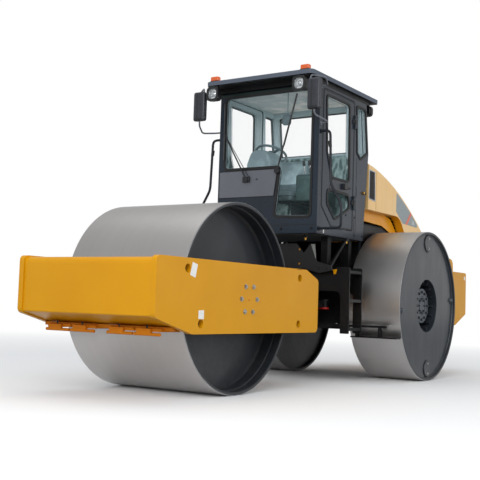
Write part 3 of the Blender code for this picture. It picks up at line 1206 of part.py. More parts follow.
def build():
    steering = pivot("steering_axis", (0, PIVOT_Y, PIVOT_Z))
    drum_axis = pivot("front_drum_axis", (0, 0, DRUM_RADIUS), steering)
    attach(drum_axis, front_drum())
    attach(steering, front_beam(), rear_beam(), front_scraper(), *[side_plate(*pair) for pair in SIDE_NAMES])
    rear_chassis()
    rear_axle()
    engine_block()
    counterweight()
    for word, side in SIDE_NAMES:
        axis = pivot(f"rear_wheel_axis_{word}", (side * WHEEL_OUTER_X, WHEELBASE, WHEEL_RADIUS))
        disc = rear_wheel(word, side)
        attach(axis, disc, bpy.data.objects[f"rear_wheel_{word}"])
        barrel, shaft = steering_cylinder(word, side)
        swing = pivot(f"barrel_axis_{word}", (side * BARREL_EYE[0], BARREL_EYE[1], CYLINDER_Z))
        attach(swing, barrel, shaft)
        steps(word, side)
        rear_scraper(word, side)
        cab_side(word, side)
        hinge = pivot(f"door_axis_{word}", (side * HINGE_X, HINGE_Y, HINGE_Z[0]))
        attach(hinge, *door(word, side))
        mirror(word, side)
        work_lamp(word, side)
        amber_lamp(word, side)
        rear_lamp(word, side)
        grab_rail(word, side)
    lid = pivot("hood_axis", (0, HOOD_REAR_Y, WEIGHT_TOP_Z + 0.03))
    attach(lid, hood())
    cab_floor()
    cab_front()
    cab_rear()
    cab_roof()
    seat()
    console()
    steering_wheel()
    for word, places in WIPERS.items():
        wiper(f"wiper_{word}", *places)
    for thing in PARTS.objects:
        if thing.type == "MESH":
            smooth(thing)
    middle = (FRAME_FRONT_Y + WEIGHT_REAR_Y) / 2
    for thing in bpy.data.objects:
        if thing.parent is None:
            thing.location.y -= middle


build()
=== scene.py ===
import math

import bmesh
import bpy
from mathutils import Matrix, Vector
from mathutils.bvhtree import BVHTree


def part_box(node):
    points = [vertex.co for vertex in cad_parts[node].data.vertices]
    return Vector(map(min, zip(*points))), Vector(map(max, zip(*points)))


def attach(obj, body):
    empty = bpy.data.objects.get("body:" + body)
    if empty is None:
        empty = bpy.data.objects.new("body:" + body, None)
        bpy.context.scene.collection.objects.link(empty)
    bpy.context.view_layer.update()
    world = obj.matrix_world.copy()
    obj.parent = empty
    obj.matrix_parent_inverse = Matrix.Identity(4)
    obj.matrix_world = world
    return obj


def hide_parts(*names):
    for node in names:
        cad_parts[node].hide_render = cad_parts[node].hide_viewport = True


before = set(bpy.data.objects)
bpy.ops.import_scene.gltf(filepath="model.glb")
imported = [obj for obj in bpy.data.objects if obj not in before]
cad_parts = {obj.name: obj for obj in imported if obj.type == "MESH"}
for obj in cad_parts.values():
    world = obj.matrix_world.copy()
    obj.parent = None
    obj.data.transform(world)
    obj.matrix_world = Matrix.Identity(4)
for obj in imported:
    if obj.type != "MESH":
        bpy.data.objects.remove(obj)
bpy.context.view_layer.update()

scene = bpy.context.scene
drumLow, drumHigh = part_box("front_drum")
axleY = (drumLow.y + drumHigh.y) / 2  # every y below is measured from the front axle
sides = (("left", 1), ("right", -1))

# Camera, at the photograph's place.
view = dict(place=(4.965, -8.397, 0.7916), azimuth=-0.5851, elevation=0.073, roll=0.0326, lens=66.6,
            sensor=36)


def aimCamera():
    azimuth, elevation, roll = view["azimuth"], view["elevation"], view["roll"]
    ahead = Vector((math.sin(azimuth) * math.cos(elevation), math.cos(azimuth) * math.cos(elevation),
                    math.sin(elevation)))
    level = ahead.cross(Vector((0, 0, 1))).normalized()
    upright = level.cross(ahead)
    right = level * math.cos(roll) + upright * math.sin(roll)
    up = upright * math.cos(roll) - level * math.sin(roll)
    lens = bpy.data.cameras.new("camera")
    lens.lens = view["lens"]
    lens.sensor_width = view["sensor"]
    made = bpy.data.objects.new("camera", lens)
    scene.collection.objects.link(made)
    made.matrix_world = Matrix.Translation(view["place"]) @ Matrix((right, up, -ahead)).transposed().to_4x4()
    scene.camera = made


aimCamera()
print("camera placed")


# Node trees. A Wire is a node's output; sums on it add Math nodes.
class Wire:
    def __init__(self, nodes, socket):
        self.nodes = nodes
        self.socket = socket

    def sums(self, operation, first, second=0.0):
        return self.nodes.node("ShaderNodeMath", {"operation": operation}, {0: first, 1: second})

    def __add__(self, other):
        return self.sums("ADD", self, other)

    def __sub__(self, other):
        return self.sums("SUBTRACT", self, other)

    def __rsub__(self, other):
        return self.sums("SUBTRACT", other, self)

    def __mul__(self, other):
        return self.sums("MULTIPLY", self, other)

    def above(self, edge, soft):
        # 0 below edge, 1 above edge + soft.
        return self.nodes.node("ShaderNodeMapRange", {"clamp": True}, {0: self, 1: edge, 2: edge + soft})


class Nodes:
    def __init__(self, tree):
        self.tree = tree

    def node(self, kind, settings=None, sockets=None, output=0):
        made = self.tree.nodes.new(kind)
        for key, value in (settings or {}).items():
            if key == "stops":
                stops = made.color_ramp.elements
                while len(stops) < len(value):
                    stops.new(0.5)
                for stop, (position, colour) in zip(stops, value):
                    stop.position, stop.color = position, colour
            else:
                setattr(made, key, value)
        for key, value in (sockets or {}).items():
            self.feed(made.inputs[key], value)
        return Wire(self, made.outputs[output]) if made.outputs else made

    def feed(self, socket, value):
        if isinstance(value, Wire):
            self.tree.links.new(value.socket, socket)
        else:
            socket.default_value = value

    def given(self, label):
        return self.node("NodeGroupInput", output=label)

    def copies(self, **sockets):
        return self.node("GeometryNodeInstanceOnPoints", None, sockets)

    def closed(self, copies):
        real = self.node("GeometryNodeRealizeInstances", None, {0: copies})
        sockets = {"Geometry": real, "Material": self.given("Finish")}
        self.node("NodeGroupOutput", None, {0: self.node("GeometryNodeSetMaterial", None, sockets)})
        return self.tree


class Finish(Nodes):
    def __init__(self, name):
        self.material = bpy.data.materials.new(name)
        self.material.use_nodes = True
        super().__init__(self.material.node_tree)
        self.place = self.node("ShaderNodeTexCoord", output="Object")

    def stretched(self, stretch):
        return self.node("ShaderNodeMapping", None, {"Vector": self.place, "Scale": stretch})

    def noise(self, scale, detail=3.0, stretch=(1, 1, 1), rough=0.5):
        return self.node("ShaderNodeTexNoise", None, {"Vector": self.stretched(stretch), "Scale": scale,
                                                      "Detail": detail, "Roughness": rough})

    def along(self, axis):
        return self.node("ShaderNodeSeparateXYZ", None, {0: self.place}, axis)

    def mix(self, factor, first, second):
        return self.node("ShaderNodeMix", {"data_type": "RGBA"}, {0: factor, 6: first, 7: second}, 2)

    def bump(self, height, strength, depth):
        return self.node("ShaderNodeBump", None, {"Strength": strength, "Distance": depth, "Height": height})

    def surface(self, **sockets):
        shader = self.tree.nodes["Principled BSDF"]
        for key, value in sockets.items():
            self.feed(shader.inputs[key.replace("_", " ")], value)
        return self.material


def tone(colour):
    # A colour as it is seen, 0 to 255, in the linear values that nodes take.
    return (*[(c / 255 / 12.92) if c <= 10 else ((c / 255 + 0.055) / 1.055) ** 2.4 for c in colour], 1.0)


def shade(colour, share, lift=0.0):
    return tuple(min(1.0, c * share + lift) for c in colour[:3]) + (1.0,)


def enamel(name, dark, light, rough=0.36, coat=0.3, streak=0.0, dust=0.0, peel=0.05, gloss=0.4, metal=0.0,
           runTone=(120, 96, 62)):
    # Sprayed paint: slow clouds of tone, orange peel, run marks down the sheet, and dust low down.
    made = Finish(name)
    colour = made.mix(made.noise(1.3, 4).above(0.35, 0.3), tone(dark), tone(light))
    if streak:
        runs = made.noise(9, 3, (1, 1, 0.05)).above(0.42, 0.25)
        colour = made.mix(runs * streak, colour, tone(runTone))
    if dust:
        low = 1 - made.along("Z").above(0.2, 1.1)
        speck = made.noise(14, 6, rough=0.7).above(0.45, 0.25)
        colour = made.mix(low * speck * dust, colour, tone((150, 138, 118)))
    smear = made.noise(3.5, 5, (1, 1, 0.5)).above(0.4, 0.3)
    return made.surface(Base_Color=colour, Roughness=smear * 0.10 + rough, Metallic=metal, Coat_Weight=coat,
                        Coat_Roughness=0.12, Specular_IOR_Level=gloss,
                        Normal=made.bump(made.noise(140, 2), peel, 0.0006))


def rolledSteel(name, dark, light, rough):
    # Bright rolling steel: fine rings left by turning and by the road, with dull patches.
    made = Finish(name)
    rings = made.noise(1.0, 4, (420, 0.5, 0.5))
    bands = made.noise(1.0, 3, (10, 0.4, 0.4)).above(0.35, 0.3)
    patch = made.noise(2.0, 5, rough=0.6).above(0.42, 0.25)
    colour = made.mix(rings.above(0.3, 0.4), tone(dark), tone(light))
    colour = made.mix(bands * 0.05, colour, tone((150, 148, 146)))
    colour = made.mix(patch * 0.05, colour, tone((140, 136, 132)))
    return made.surface(Base_Color=colour, Roughness=rings * 0.08 + patch * 0.04 + rough, Metallic=1.0,
                        Normal=made.bump(rings, 0.10, 0.0003))


def plastic(name, colour, rough=0.55, grain=900):
    made = Finish(name)
    pebble = made.node("ShaderNodeTexVoronoi", None, {"Vector": made.place, "Scale": grain})
    worn = made.noise(6, 4).above(0.45, 0.3)
    return made.surface(Base_Color=made.mix(worn, tone(colour), shade(tone(colour), 1.7, 0.004)),
                        Roughness=worn * 0.12 + rough, Normal=made.bump(pebble, 0.12, 0.0004))


def bright(name, colour, rough, scratch=0.08):
    made = Finish(name)
    scratches = made.noise(60, 4, (1, 1, 6)).above(0.4, 0.3)
    return made.surface(Base_Color=made.mix(scratches, tone(colour), shade(tone(colour), 0.8)),
                        Roughness=scratches * scratch + rough, Metallic=1.0)


def clearPane(name, colour, alpha):
    made = Finish(name)
    haze = made.noise(2.2, 3).above(0.3, 0.5)
    made.material.surface_render_method = "DITHERED"
    return made.surface(Base_Color=made.mix(haze, tone(colour), shade(tone(colour), 0.9)), Roughness=0.03,
                        Alpha=haze * 0.02 + alpha)


def lampLens(name, colour):
    # Ribbed lens plastic.
    made = Finish(name)
    ribs = made.node("ShaderNodeTexWave", {"wave_type": "BANDS", "bands_direction": "X"},
                     {"Vector": made.place, "Scale": 60.0, "Distortion": 0.3})
    return made.surface(Base_Color=made.mix(ribs, shade(tone(colour), 0.6), tone(colour)), Roughness=0.15,
                        Coat_Weight=0.5, Normal=made.bump(ribs, 0.3, 0.001))


def paintedMark(name, colour):
    # A printed film: flat tone with a faint mottle, so that it lies as a decal does.
    made = Finish(name)
    mottle = made.noise(40, 3).above(0.4, 0.3)
    return made.surface(Base_Color=made.mix(mottle, tone(colour), shade(tone(colour), 0.92)),
                        Roughness=mottle * 0.06 + 0.38)


def creasedFoilReflection(name, colour, deep, plain=None):
    # Soft foil, creased: the pale glints along its creases are painted highlights and its dark crease pattern
    # is painted reflection; plain trim above its top edge.
    made = Finish(name)
    crease = made.noise(9, 5, (1, 1, 0.5))
    slope = crease - 0.5
    # Painted highlights along the creases.
    paintedGlint = (1 - slope.sums("ABSOLUTE", slope) * 9).above(0.1, 0.8)
    foil = made.mix(paintedGlint, tone(deep), tone(colour))
    if plain:
        foil = made.mix(made.along("Z").above(foilReflectionTop, 0.04), foil, tone(plain))
    return made.surface(Base_Color=foil, Roughness=0.30, Normal=made.bump(crease, 0.9, 0.02))


foilReflectionTop = 2.43
frameEnamel = enamel("frame enamel", (208, 144, 4), (214, 151, 8), 0.36, 0.10, dust=0.04, gloss=0.18)
# The scraper holders take the frame's yellow darkened towards orange: painted shade for their place under the
# beam.
holderShadedYellow = enamel("holder orange", (196, 110, 8), (206, 122, 12), 0.45, 0.0, dust=0.05, gloss=0.15)
# The hood's yellow is the frame's yellow made paler: painted glare on top of the paint's own colour.
hoodEnamelAndGlare = enamel("hood enamel", (234, 190, 122), (240, 200, 138), 0.38, 0.2, 0.05)
archEnamel = enamel("arch enamel", (224, 148, 10), (232, 160, 18), 0.36, 0.2, 0.04, gloss=0.3)
cabPaint = enamel("cab paint", (14, 27, 40), (20, 35, 50), 0.24, 0.2, dust=0.02, gloss=0.28)
roofPaint = enamel("roof paint", (84, 92, 104), (96, 104, 117), 0.58, 0.0, gloss=0.25)
bandGreen = enamel("screen band", (22, 36, 34), (30, 46, 43), 0.30, 0.1, gloss=0.3)
panelPaint = enamel("panel paint", (94, 97, 105), (102, 105, 113), 0.42, 0.15, dust=0.03)
grilleTrim = enamel("grille trim", (140, 150, 162), (156, 166, 178), 0.36, 0.3)
railPaint = enamel("rail paint", (20, 25, 32), (28, 34, 42), 0.42, 0.0, gloss=0.25)
houseGrey = enamel("house grey", (48, 54, 61), (56, 62, 70), 0.42, 0.2, dust=0.05)
chassisBlack = enamel("chassis black", (7, 8, 10), (12, 13, 16), 0.44, 0.1, dust=0.04, gloss=0.25)
bracketGrey = enamel("bracket grey", (26, 26, 28), (34, 34, 36), 0.5, 0.1, dust=0.05, gloss=0.3)
slatePaint = enamel("slate paint", (28, 32, 37), (38, 42, 48), 0.46, 0.15, dust=0.05)
discSteel = enamel("disc steel", (42, 47, 53), (52, 57, 64), 0.36, 0.25, 0.16, 0.03, metal=0.3,
                   runTone=(86, 92, 98))
hubSteel = enamel("hub steel", (66, 72, 80), (78, 84, 92), 0.40, 0.2, metal=0.3)
greyCast = enamel("grey casting", (120, 126, 122), (138, 144, 140), 0.55, 0.0, peel=0.3, metal=0.2)
warningRed = enamel("red enamel", (176, 20, 14), (190, 28, 20), 0.36, 0.2, gloss=0.3)
treadSteel = rolledSteel("tread steel", (190, 188, 187), (198, 196, 195), 0.36)
rimSteel = bright("rim steel", (168, 169, 172), 0.34)
zincSteel = bright("zinc steel", (176, 176, 172), 0.32)
brassZinc = bright("yellow zinc", (206, 160, 76), 0.30)
chromeRod = bright("hard chrome", (225, 226, 228), 0.10)
mirrorGlass = bright("mirror glass", (205, 214, 220), 0.03, 0.01)
reflectorFoil = bright("lamp reflector", (232, 234, 236), 0.12, 0.05)
rubber = plastic("rubber", (12, 13, 15))
blackPlastic = plastic("black plastic", (18, 20, 24), 0.40)
lampHousing = plastic("lamp housing", (16, 17, 20), 0.36)
mirrorShell = plastic("mirror shell", (40, 43, 51), 0.40, 500)
armGrey = plastic("arm coating", (88, 92, 100), 0.36, 500)
meshGrey = plastic("grille mesh", (52, 50, 48), 0.5, 500)
seamBrown = plastic("seam shadow", (120, 84, 30), 0.6, 500)
glossBlue = plastic("gloss band", (14, 22, 36), 0.28, 300)
# The pale teal of the pieces inside the cab, and of the interior trim below, is partly painted: the glass's
# tint and a painted veil of reflection from the glass are laid into their own colours.
seatVinyl = plastic("seat vinyl", (120, 140, 145), 0.50, 420)
wheelGrey = plastic("hand wheel plastic", (84, 102, 108), 0.45, 300)
columnGrey = plastic("column cover", (122, 142, 148), 0.55, 300)
seatPiping = plastic("seat piping", (52, 64, 68), 0.5, 300)
headliner = plastic("headliner", (206, 220, 222), 0.8, 300)
deskGreen = plastic("desk cover", (62, 84, 84), 0.6, 300)
floorMat = plastic("floor mat", (40, 44, 46), 0.8, 200)
paleSeal = plastic("seal lip", (120, 134, 138), 0.4, 300)
tealPane = clearPane("cab glass", (150, 178, 180), 0.015)
lensPane = clearPane("lamp glass", (225, 232, 236), 0.16)
amberLens = lampLens("amber lens", (246, 104, 24))
redLens = lampLens("red lens", (176, 26, 22))
whiteMark = paintedMark("white label", (232, 232, 228))
greyMark = paintedMark("grey stripe film", (140, 149, 152))
paleMark = paintedMark("pale stripe film", (176, 180, 180))
redMark = paintedMark("red stripe film", (226, 104, 76))
# Foils whose creased pattern is painted reflection with painted highlights; the interior trim carries it
# below its top edge.
leafFoilReflection = creasedFoilReflection("leaf foil", (170, 196, 194), (40, 58, 56))
liningFoilReflection = creasedFoilReflection("lining foil", (160, 186, 186), (84, 110, 110))
interiorTrim = creasedFoilReflection("interior trim", (170, 196, 196), (70, 94, 94), (182, 203, 208))
print("materials made")


# Outlines, as lists of (across, up).
def eased(start, corner, end, steps):
    # The points of a soft bend from start to end.
    shares = [step / steps for step in range(steps + 1)]
    return [start * (1 - share) ** 2 + corner * 2 * share * (1 - share) + end * share ** 2
            for share in shares]


def softRoute(route, bend, steps=4, closed=False):
    # The route with its corners rounded; a closed one joins its ends.
    points = [Vector(point) for point in route]
    count = len(points)
    made = []
    for index, corner in enumerate(points):
        before, after = points[index - 1], points[(index + 1) % count]
        reach = min(bend, (before - corner).length * 0.49, (after - corner).length * 0.49)
        if reach < 1e-5 or not closed and index in (0, count - 1):
            made.append(corner)
            continue
        start = corner + (before - corner).normalized() * reach
        made += eased(start, corner, corner + (after - corner).normalized() * reach, steps)
    return made


def softOutline(corners, radius=0.0, steps=4):
    # A closed outline of (across, up) or (across, up, own radius), its corners rounded.
    made = []
    count = len(corners)
    for index, corner in enumerate(corners):
        here = Vector(corner[:2])
        bend = corner[2] if len(corner) > 2 else radius
        before, after = Vector(corners[index - 1][:2]), Vector(corners[(index + 1) % count][:2])
        back, ahead = (before - here).normalized(), (after - here).normalized()
        half = back.angle(ahead) / 2
        if not bend or half > 1.55:
            made.append(tuple(here))
            continue
        reach = min(bend / math.tan(half), (before - here).length * 0.49, (after - here).length * 0.49)
        made += [tuple(spot) for spot in eased(here + back * reach, here, here + ahead * reach, steps)]
    return made


def ring(across, up, radius, count=28):
    angles = [2 * math.pi * step / count for step in range(count)]
    return [(across + radius * math.cos(angle), up + radius * math.sin(angle)) for angle in angles]


def plainBox(x, z, wide, high):
    return [(x - wide / 2, z - high / 2), (x + wide / 2, z - high / 2), (x + wide / 2, z + high / 2),
            (x - wide / 2, z + high / 2)]


def grown(corners, reach):
    # The outline moved outwards by reach on every side.
    count = len(corners)
    area = sum(corners[i - 1][0] * corners[i][1] - corners[i][0] * corners[i - 1][1] for i in range(count))
    turn = 1 if area > 0 else -1
    made = []
    for index in range(count):
        here = Vector(corners[index][:2])
        back = (here - Vector(corners[index - 1][:2])).normalized()
        ahead = (Vector(corners[(index + 1) % count][:2]) - here).normalized()
        out = Vector((back.y + ahead.y, -back.x - ahead.x)).normalized() * turn
        lean = out.dot(Vector((back.y, -back.x)) * turn)
        made.append(tuple(here + out * reach / max(lean, 0.3)))
    return made


def linked(name, data):
    made = bpy.data.objects.new(name, data)
    scene.collection.objects.link(made)
    return made


def finalMesh(made):
    bpy.context.view_layer.update()
    return bpy.data.meshes.new_from_object(made.evaluated_get(bpy.context.evaluated_depsgraph_get()))


def evaluated(guide):
    # The guide's final mesh as a bmesh; the guide goes.
    mesh = finalMesh(guide)
    made = bmesh.new()
    made.from_mesh(mesh)
    bmesh.ops.transform(made, matrix=guide.matrix_world, verts=made.verts)
    bpy.data.objects.remove(guide, do_unlink=True)
    bpy.data.meshes.remove(mesh)
    return made


def block(low, high):
    part = bmesh.new()
    bmesh.ops.create_cube(part, size=1)
    low, high = Vector(map(min, low, high)), Vector(map(max, low, high))
    for vert in part.verts:
        vert.co = Vector(((low + high)[i] / 2 + vert.co[i] * (high - low)[i] for i in range(3)))
    return part


def turnedAbout(place, angle):
    # A turn about a line along X through place.
    return Matrix.Translation(place) @ Matrix.Rotation(angle, 4, "X") @ Matrix.Translation(-Vector(place))


flatTurn = {
    "X": Matrix(((0, 0, 1, 0), (1, 0, 0, 0), (0, 1, 0, 0), (0, 0, 0, 1))),
    "Y": Matrix(((1, 0, 0, 0), (0, 0, -1, 0), (0, 1, 0, 0), (0, 0, 0, 1))),
    "Z": Matrix.Identity(4),
}


# A piece is built up from solids, each with its own finish.
class Form:
    def __init__(self, smooth=38):
        self.body = bmesh.new()
        self.finishes = []
        self.smooth = smooth

    def absorb(self, part):
        mesh = bpy.data.meshes.new("part")
        part.to_mesh(mesh)
        part.free()
        self.body.from_mesh(mesh)
        bpy.data.meshes.remove(mesh)
        return self

    def take(self, part, finish, roundness=0.0, segments=3, tidy=False, turned=True):
        # Adds a bmesh: rounded along its sharp edges, faces outward, in its finish.
        if tidy:
            bmesh.ops.remove_doubles(part, verts=part.verts, dist=0.00002)
            bmesh.ops.dissolve_limit(part, angle_limit=0.012, verts=part.verts, edges=part.edges)
        if turned:
            bmesh.ops.recalc_face_normals(part, faces=part.faces)
        if roundness:
            sharp = [e for e in part.edges if len(e.link_faces) == 2 and e.calc_face_angle() > 0.5]
            bmesh.ops.bevel(part, geom=sharp, offset=roundness, segments=segments, profile=0.5,
                            affect="EDGES", clamp_overlap=True)
        part.normal_update()
        for face in part.faces:
            face.material_index = self.indexOf(finish(face) if callable(finish) else finish)
        return self.absorb(part)

    def indexOf(self, finish):
        if finish not in self.finishes:
            self.finishes.append(finish)
        return self.finishes.index(finish)

    def box(self, low, high, finish, roundness=0.003, place=None, segments=2):
        part = block(low, high)
        if place:
            bmesh.ops.transform(part, matrix=place, verts=part.verts)
        return self.take(part, finish, roundness, segments)

    def bar(self, start, end, radius, finish, count=28, roundness=0.0015, tip=None):
        start, end = Vector(start), Vector(end)
        part = bmesh.new()
        bmesh.ops.create_cone(part, cap_ends=True, segments=count, radius1=radius,
                              radius2=radius if tip is None else tip, depth=(end - start).length)
        turn = Vector((0, 0, 1)).rotation_difference(end - start).to_matrix().to_4x4()
        bmesh.ops.transform(part, matrix=Matrix.Translation((start + end) / 2) @ turn, verts=part.verts)
        return self.take(part, finish, roundness, 2)

    def slab(self, outline, axis, low, high, finish, holes=(), roundness=0.0, place=None, segments=3):
        # A flat outline thickened along an axis.
        curve = bpy.data.curves.new("outline", "CURVE")
        curve.dimensions = "2D"
        curve.fill_mode = "BOTH"
        curve.extrude = abs(high - low) / 2
        for loop in (outline, *holes):
            spline = curve.splines.new("POLY")
            spline.points.add(len(loop) - 1)
            for point, (across, up) in zip(spline.points, loop):
                point.co = (across, up, 0, 1)
            spline.use_cyclic_u = True
        guide = linked("outline", curve)
        middle = Vector([(low + high) / 2 if name == axis else 0 for name in "XYZ"])
        guide.matrix_world = Matrix.Translation(middle) @ flatTurn[axis]
        part = evaluated(guide)
        bpy.data.curves.remove(curve)
        if place:
            bmesh.ops.transform(part, matrix=place, verts=part.verts)
        return self.take(part, finish, roundness, segments, tidy=True)

    def film(self, outline, side, face, finish, low=-0.001, high=0.0006, holes=(), roundness=0.0):
        # A sheet on a wall across X, from low to high beyond the wall's face.
        return self.slab(outline, "X", side * (face + low), side * (face + high), finish, holes, roundness)

    def tube(self, route, radius, finish, bend=0.05, closed=False, count=16):
        # A round tube along a route with rounded corners.
        points = softRoute(route, bend, 5, closed)
        curve = bpy.data.curves.new("route", "CURVE")
        curve.dimensions = "3D"
        curve.bevel_depth = radius
        curve.bevel_resolution = count // 4
        curve.use_fill_caps = True
        spline = curve.splines.new("POLY")
        spline.points.add(len(points) - 1)
        for point, spot in zip(spline.points, points):
            point.co = (*spot, 1)
        spline.use_cyclic_u = closed
        part = evaluated(linked("route", curve))
        bpy.data.curves.remove(curve)
        bmesh.ops.remove_doubles(part, verts=part.verts, dist=0.00002)
        return self.take(part, finish)

    def turned(self, profile, centre, finish, side=1, count=96):
        # A closed profile of (radius, x) turned about an axle along X through centre (y, z). A point may end
        # with the finish of the band that starts there.
        part = bmesh.new()
        rows = []
        for step in range(count):
            angle = 2 * math.pi * step / count
            across, up = math.cos(angle), math.sin(angle)
            rows.append([part.verts.new((side * x, centre[0] + reach * across, centre[1] + reach * up))
                         for reach, x, *rest in profile])
        bands = []
        for point in profile:
            finish = point[2] if len(point) > 2 else finish
            bands.append(self.indexOf(finish))
        for step in range(count):
            here, after = rows[step], rows[(step + 1) % count]
            for spot, band in enumerate(bands):
                far = (spot + 1) % len(profile)
                part.faces.new((here[spot], here[far], after[far], after[spot])).material_index = band
        bmesh.ops.remove_doubles(part, verts=part.verts, dist=0.00001)
        bmesh.ops.recalc_face_normals(part, faces=part.faces)
        return self.absorb(part)

    def node(self, name, finish, roundness=0.0, segments=3, keep=None):
        # A CAD node's own shape, merged from its triangles.
        part = bmesh.new()
        part.from_mesh(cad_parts[name].data)
        bmesh.ops.translate(part, vec=(0, -axleY, 0), verts=part.verts)
        bmesh.ops.remove_doubles(part, verts=part.verts, dist=0.00001)
        if keep:
            bmesh.ops.delete(part, geom=[f for f in part.faces if not keep(f.calc_center_median())],
                             context="FACES")
        bmesh.ops.dissolve_limit(part, angle_limit=0.012, verts=part.verts, edges=part.edges)
        return self.take(part, finish, roundness, segments, turned=False)

    def repeat(self, tree, points, finish, **inputs):
        # A Geometry Nodes tree run on loose points.
        mesh = bpy.data.meshes.new("points")
        mesh.from_pydata([tuple(point) for point in points], [], [])
        guide = linked("points", mesh)
        change = guide.modifiers.new("repeat", "NODES")
        change.node_group = tree
        names = {item.name: item.identifier for item in tree.interface.items_tree if item.in_out == "INPUT"}
        for key, value in {**inputs, "Finish": finish}.items():
            change[names[key]] = value
        return self.take(evaluated(guide), finish)

    def bolts(self, points, facing, finish, across, high):
        facing = tuple(map(float, facing))
        return self.repeat(boltTree, points, finish, Facing=facing, Across=across, Height=high)

    def made(self, name, body, slotName, *replaced):
        # The finished piece: its place in its mesh, riding on its body.
        bmesh.ops.translate(self.body, vec=(0, axleY, 0), verts=self.body.verts)
        mesh = bpy.data.meshes.new(name)
        self.body.to_mesh(mesh)
        self.body.free()
        for finish in self.finishes:
            mesh.materials.append(finish)
        mesh.shade_smooth()
        mesh.set_sharp_from_angle(angle=math.radians(self.smooth))
        rough = linked("rough", mesh)
        rough.modifiers.new("even", "WEIGHTED_NORMAL").keep_sharp = True
        final = finalMesh(rough)
        bpy.data.objects.remove(rough, do_unlink=True)
        bpy.data.meshes.remove(mesh)
        final.name = name
        piece = linked(name, final)
        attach(piece, body)
        if replaced:
            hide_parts(*replaced)
        return piece


def dressed(node, finish, name, body, slotName, roundness=0.0, smooth=38):
    # A piece that is its CAD node's shape in one finish.
    return Form(smooth).node(node, finish, roundness).made(name, body, slotName, node)


# Geometry Nodes trees for what repeats.
def newTree(name, inputs):
    tree = bpy.data.node_groups.new(name, "GeometryNodeTree")
    tree.interface.new_socket("Geometry", in_out="OUTPUT", socket_type="NodeSocketGeometry")
    for label, kind, value in (("Geometry", "Geometry", None), *inputs, ("Finish", "Material", None)):
        socket = tree.interface.new_socket(label, in_out="INPUT", socket_type=f"NodeSocket{kind}")
        if value is not None:
            socket.default_value = value
    return Nodes(tree)


def makeBoltTree():
    # A head with a chamfered crown on a washer at every point, turned by a seeded amount.
    nodes = newTree("hex heads", (("Facing", "Vector", (0, 0, 1)), ("Across", "Float", 0.024),
                                  ("Height", "Float", 0.012), ("Corners", "Int", 6), ("Washer", "Float", 1.5),
                                  ("Seed", "Int", 7)))
    half, high, corners = nodes.given("Across") * 0.5, nodes.given("Height"), nodes.given("Corners")
    thin = high * 0.25
    head = nodes.node("GeometryNodeMeshCylinder", None,
                      {"Vertices": corners, "Radius": half, "Depth": high}, "Mesh")
    cap = nodes.node("GeometryNodeMeshCone", None, {"Vertices": corners, "Radius Bottom": half,
                                                    "Radius Top": half * 0.8, "Depth": high * 0.22}, "Mesh")
    washer = nodes.node("GeometryNodeMeshCylinder", None,
                        {"Vertices": 20, "Radius": half * nodes.given("Washer"), "Depth": thin}, "Mesh")
    whole = nodes.node("GeometryNodeJoinGeometry")
    for mesh, lift in ((head, high * 0.5), (cap, high), (washer, thin * 0.5)):
        offset = nodes.node("ShaderNodeCombineXYZ", None, {"Z": lift})
        lifted = nodes.node("GeometryNodeTransform", None, {"Geometry": mesh, "Translation": offset})
        nodes.feed(whole.socket.node.inputs[0], lifted)
    turn = nodes.node("FunctionNodeRandomValue", {"data_type": "FLOAT"},
                      {"Seed": nodes.given("Seed"), 3: 6.28}, 1)
    spin = nodes.node("ShaderNodeCombineXYZ", None, {"Z": turn})
    spin = nodes.node("FunctionNodeEulerToRotation", None, {0: spin})
    aim = nodes.node("FunctionNodeAlignRotationToVector", {"axis": "Z"}, {"Vector": nodes.given("Facing")})
    aim = nodes.node("FunctionNodeRotateRotation", {"rotation_space": "LOCAL"}, {0: aim, 1: spin})
    return nodes.closed(nodes.copies(Points=nodes.given("Geometry"), Instance=whole, Rotation=aim))


def makeSlatTree():
    # A row of slats: boxes of one size, a step apart, from every point.
    nodes = newTree("slats", (("Step", "Vector", (0, 0.02, 0)), ("Count", "Int", 10),
                              ("Size", "Vector", (0.01, 0.01, 0.1))))
    row = nodes.node("GeometryNodeMeshLine", {"mode": "OFFSET"},
                     {"Count": nodes.given("Count"), "Offset": nodes.given("Step")})
    slat = nodes.node("GeometryNodeMeshCube", None, {"Size": nodes.given("Size")}, "Mesh")
    run = nodes.copies(Points=row, Instance=slat)
    return nodes.closed(nodes.copies(Points=nodes.given("Geometry"), Instance=run))


boltTree = makeBoltTree()
slatTree = makeSlatTree()

# Front drum: a rolled shell with a stiffening ring and a dished head at each end.
drum = dict(radius=0.85, half=0.64, shell=0.03, ringDepth=0.08, ringWidth=0.012, headDepth=0.205, thick=0.025,
            hub=0.20, hubOut=0.12, bore=0.14, edge=0.006, bend=0.02, boltRing=0.30, bolts=12,
            plug=(0.42, 0.62), steps=256)


def makeDrum():
    (radius, half, shell, ringDepth, ringWidth, headDepth, thick, hub, hubOut, bore, edge, bend, boltRing,
     bolts, plug, steps) = drum.values()
    inner, lip, head = radius - shell, half - ringDepth, half - headDepth
    nose, mouth = head + hubOut, inner - ringWidth
    end = [
        (bore, head - thick, slatePaint), (bore, nose - edge), (bore + edge, nose), (hub - edge, nose),
        (hub, nose - edge), (hub, head + bend), (hub + bend, head), (mouth - bend, head),
        (mouth, head + bend), (mouth, lip - edge), (mouth + edge, lip), (inner, lip), (inner, half - edge),
        (inner + edge, half),
        (radius - edge, half, rimSteel), (radius, half - edge, treadSteel),
    ]
    mirrored = [(point[0], -point[1]) for point in reversed(end)]
    mirrored[0] = (*mirrored[0], rimSteel)
    mirrored[1] = (*mirrored[1], slatePaint)
    web = [(mouth, thick - head), (mouth, head - thick)]
    form = Form().turned(end + mirrored + web, (0, radius), slatePaint, count=steps)
    for side in (1, -1):
        spots = [(side * head, y, z) for y, z in ring(0, radius, boltRing, bolts)]
        form.bolts(spots, (side, 0, 0), zincSteel, 0.03, 0.016)
        # Filler plug.
        form.bar((side * (head - 0.004), *plug), (side * (head + 0.03), *plug), 0.03, zincSteel, 6)
    form.made("rolling_drum", "front_drum", "rolled_steel", "front_drum")


makeDrum()

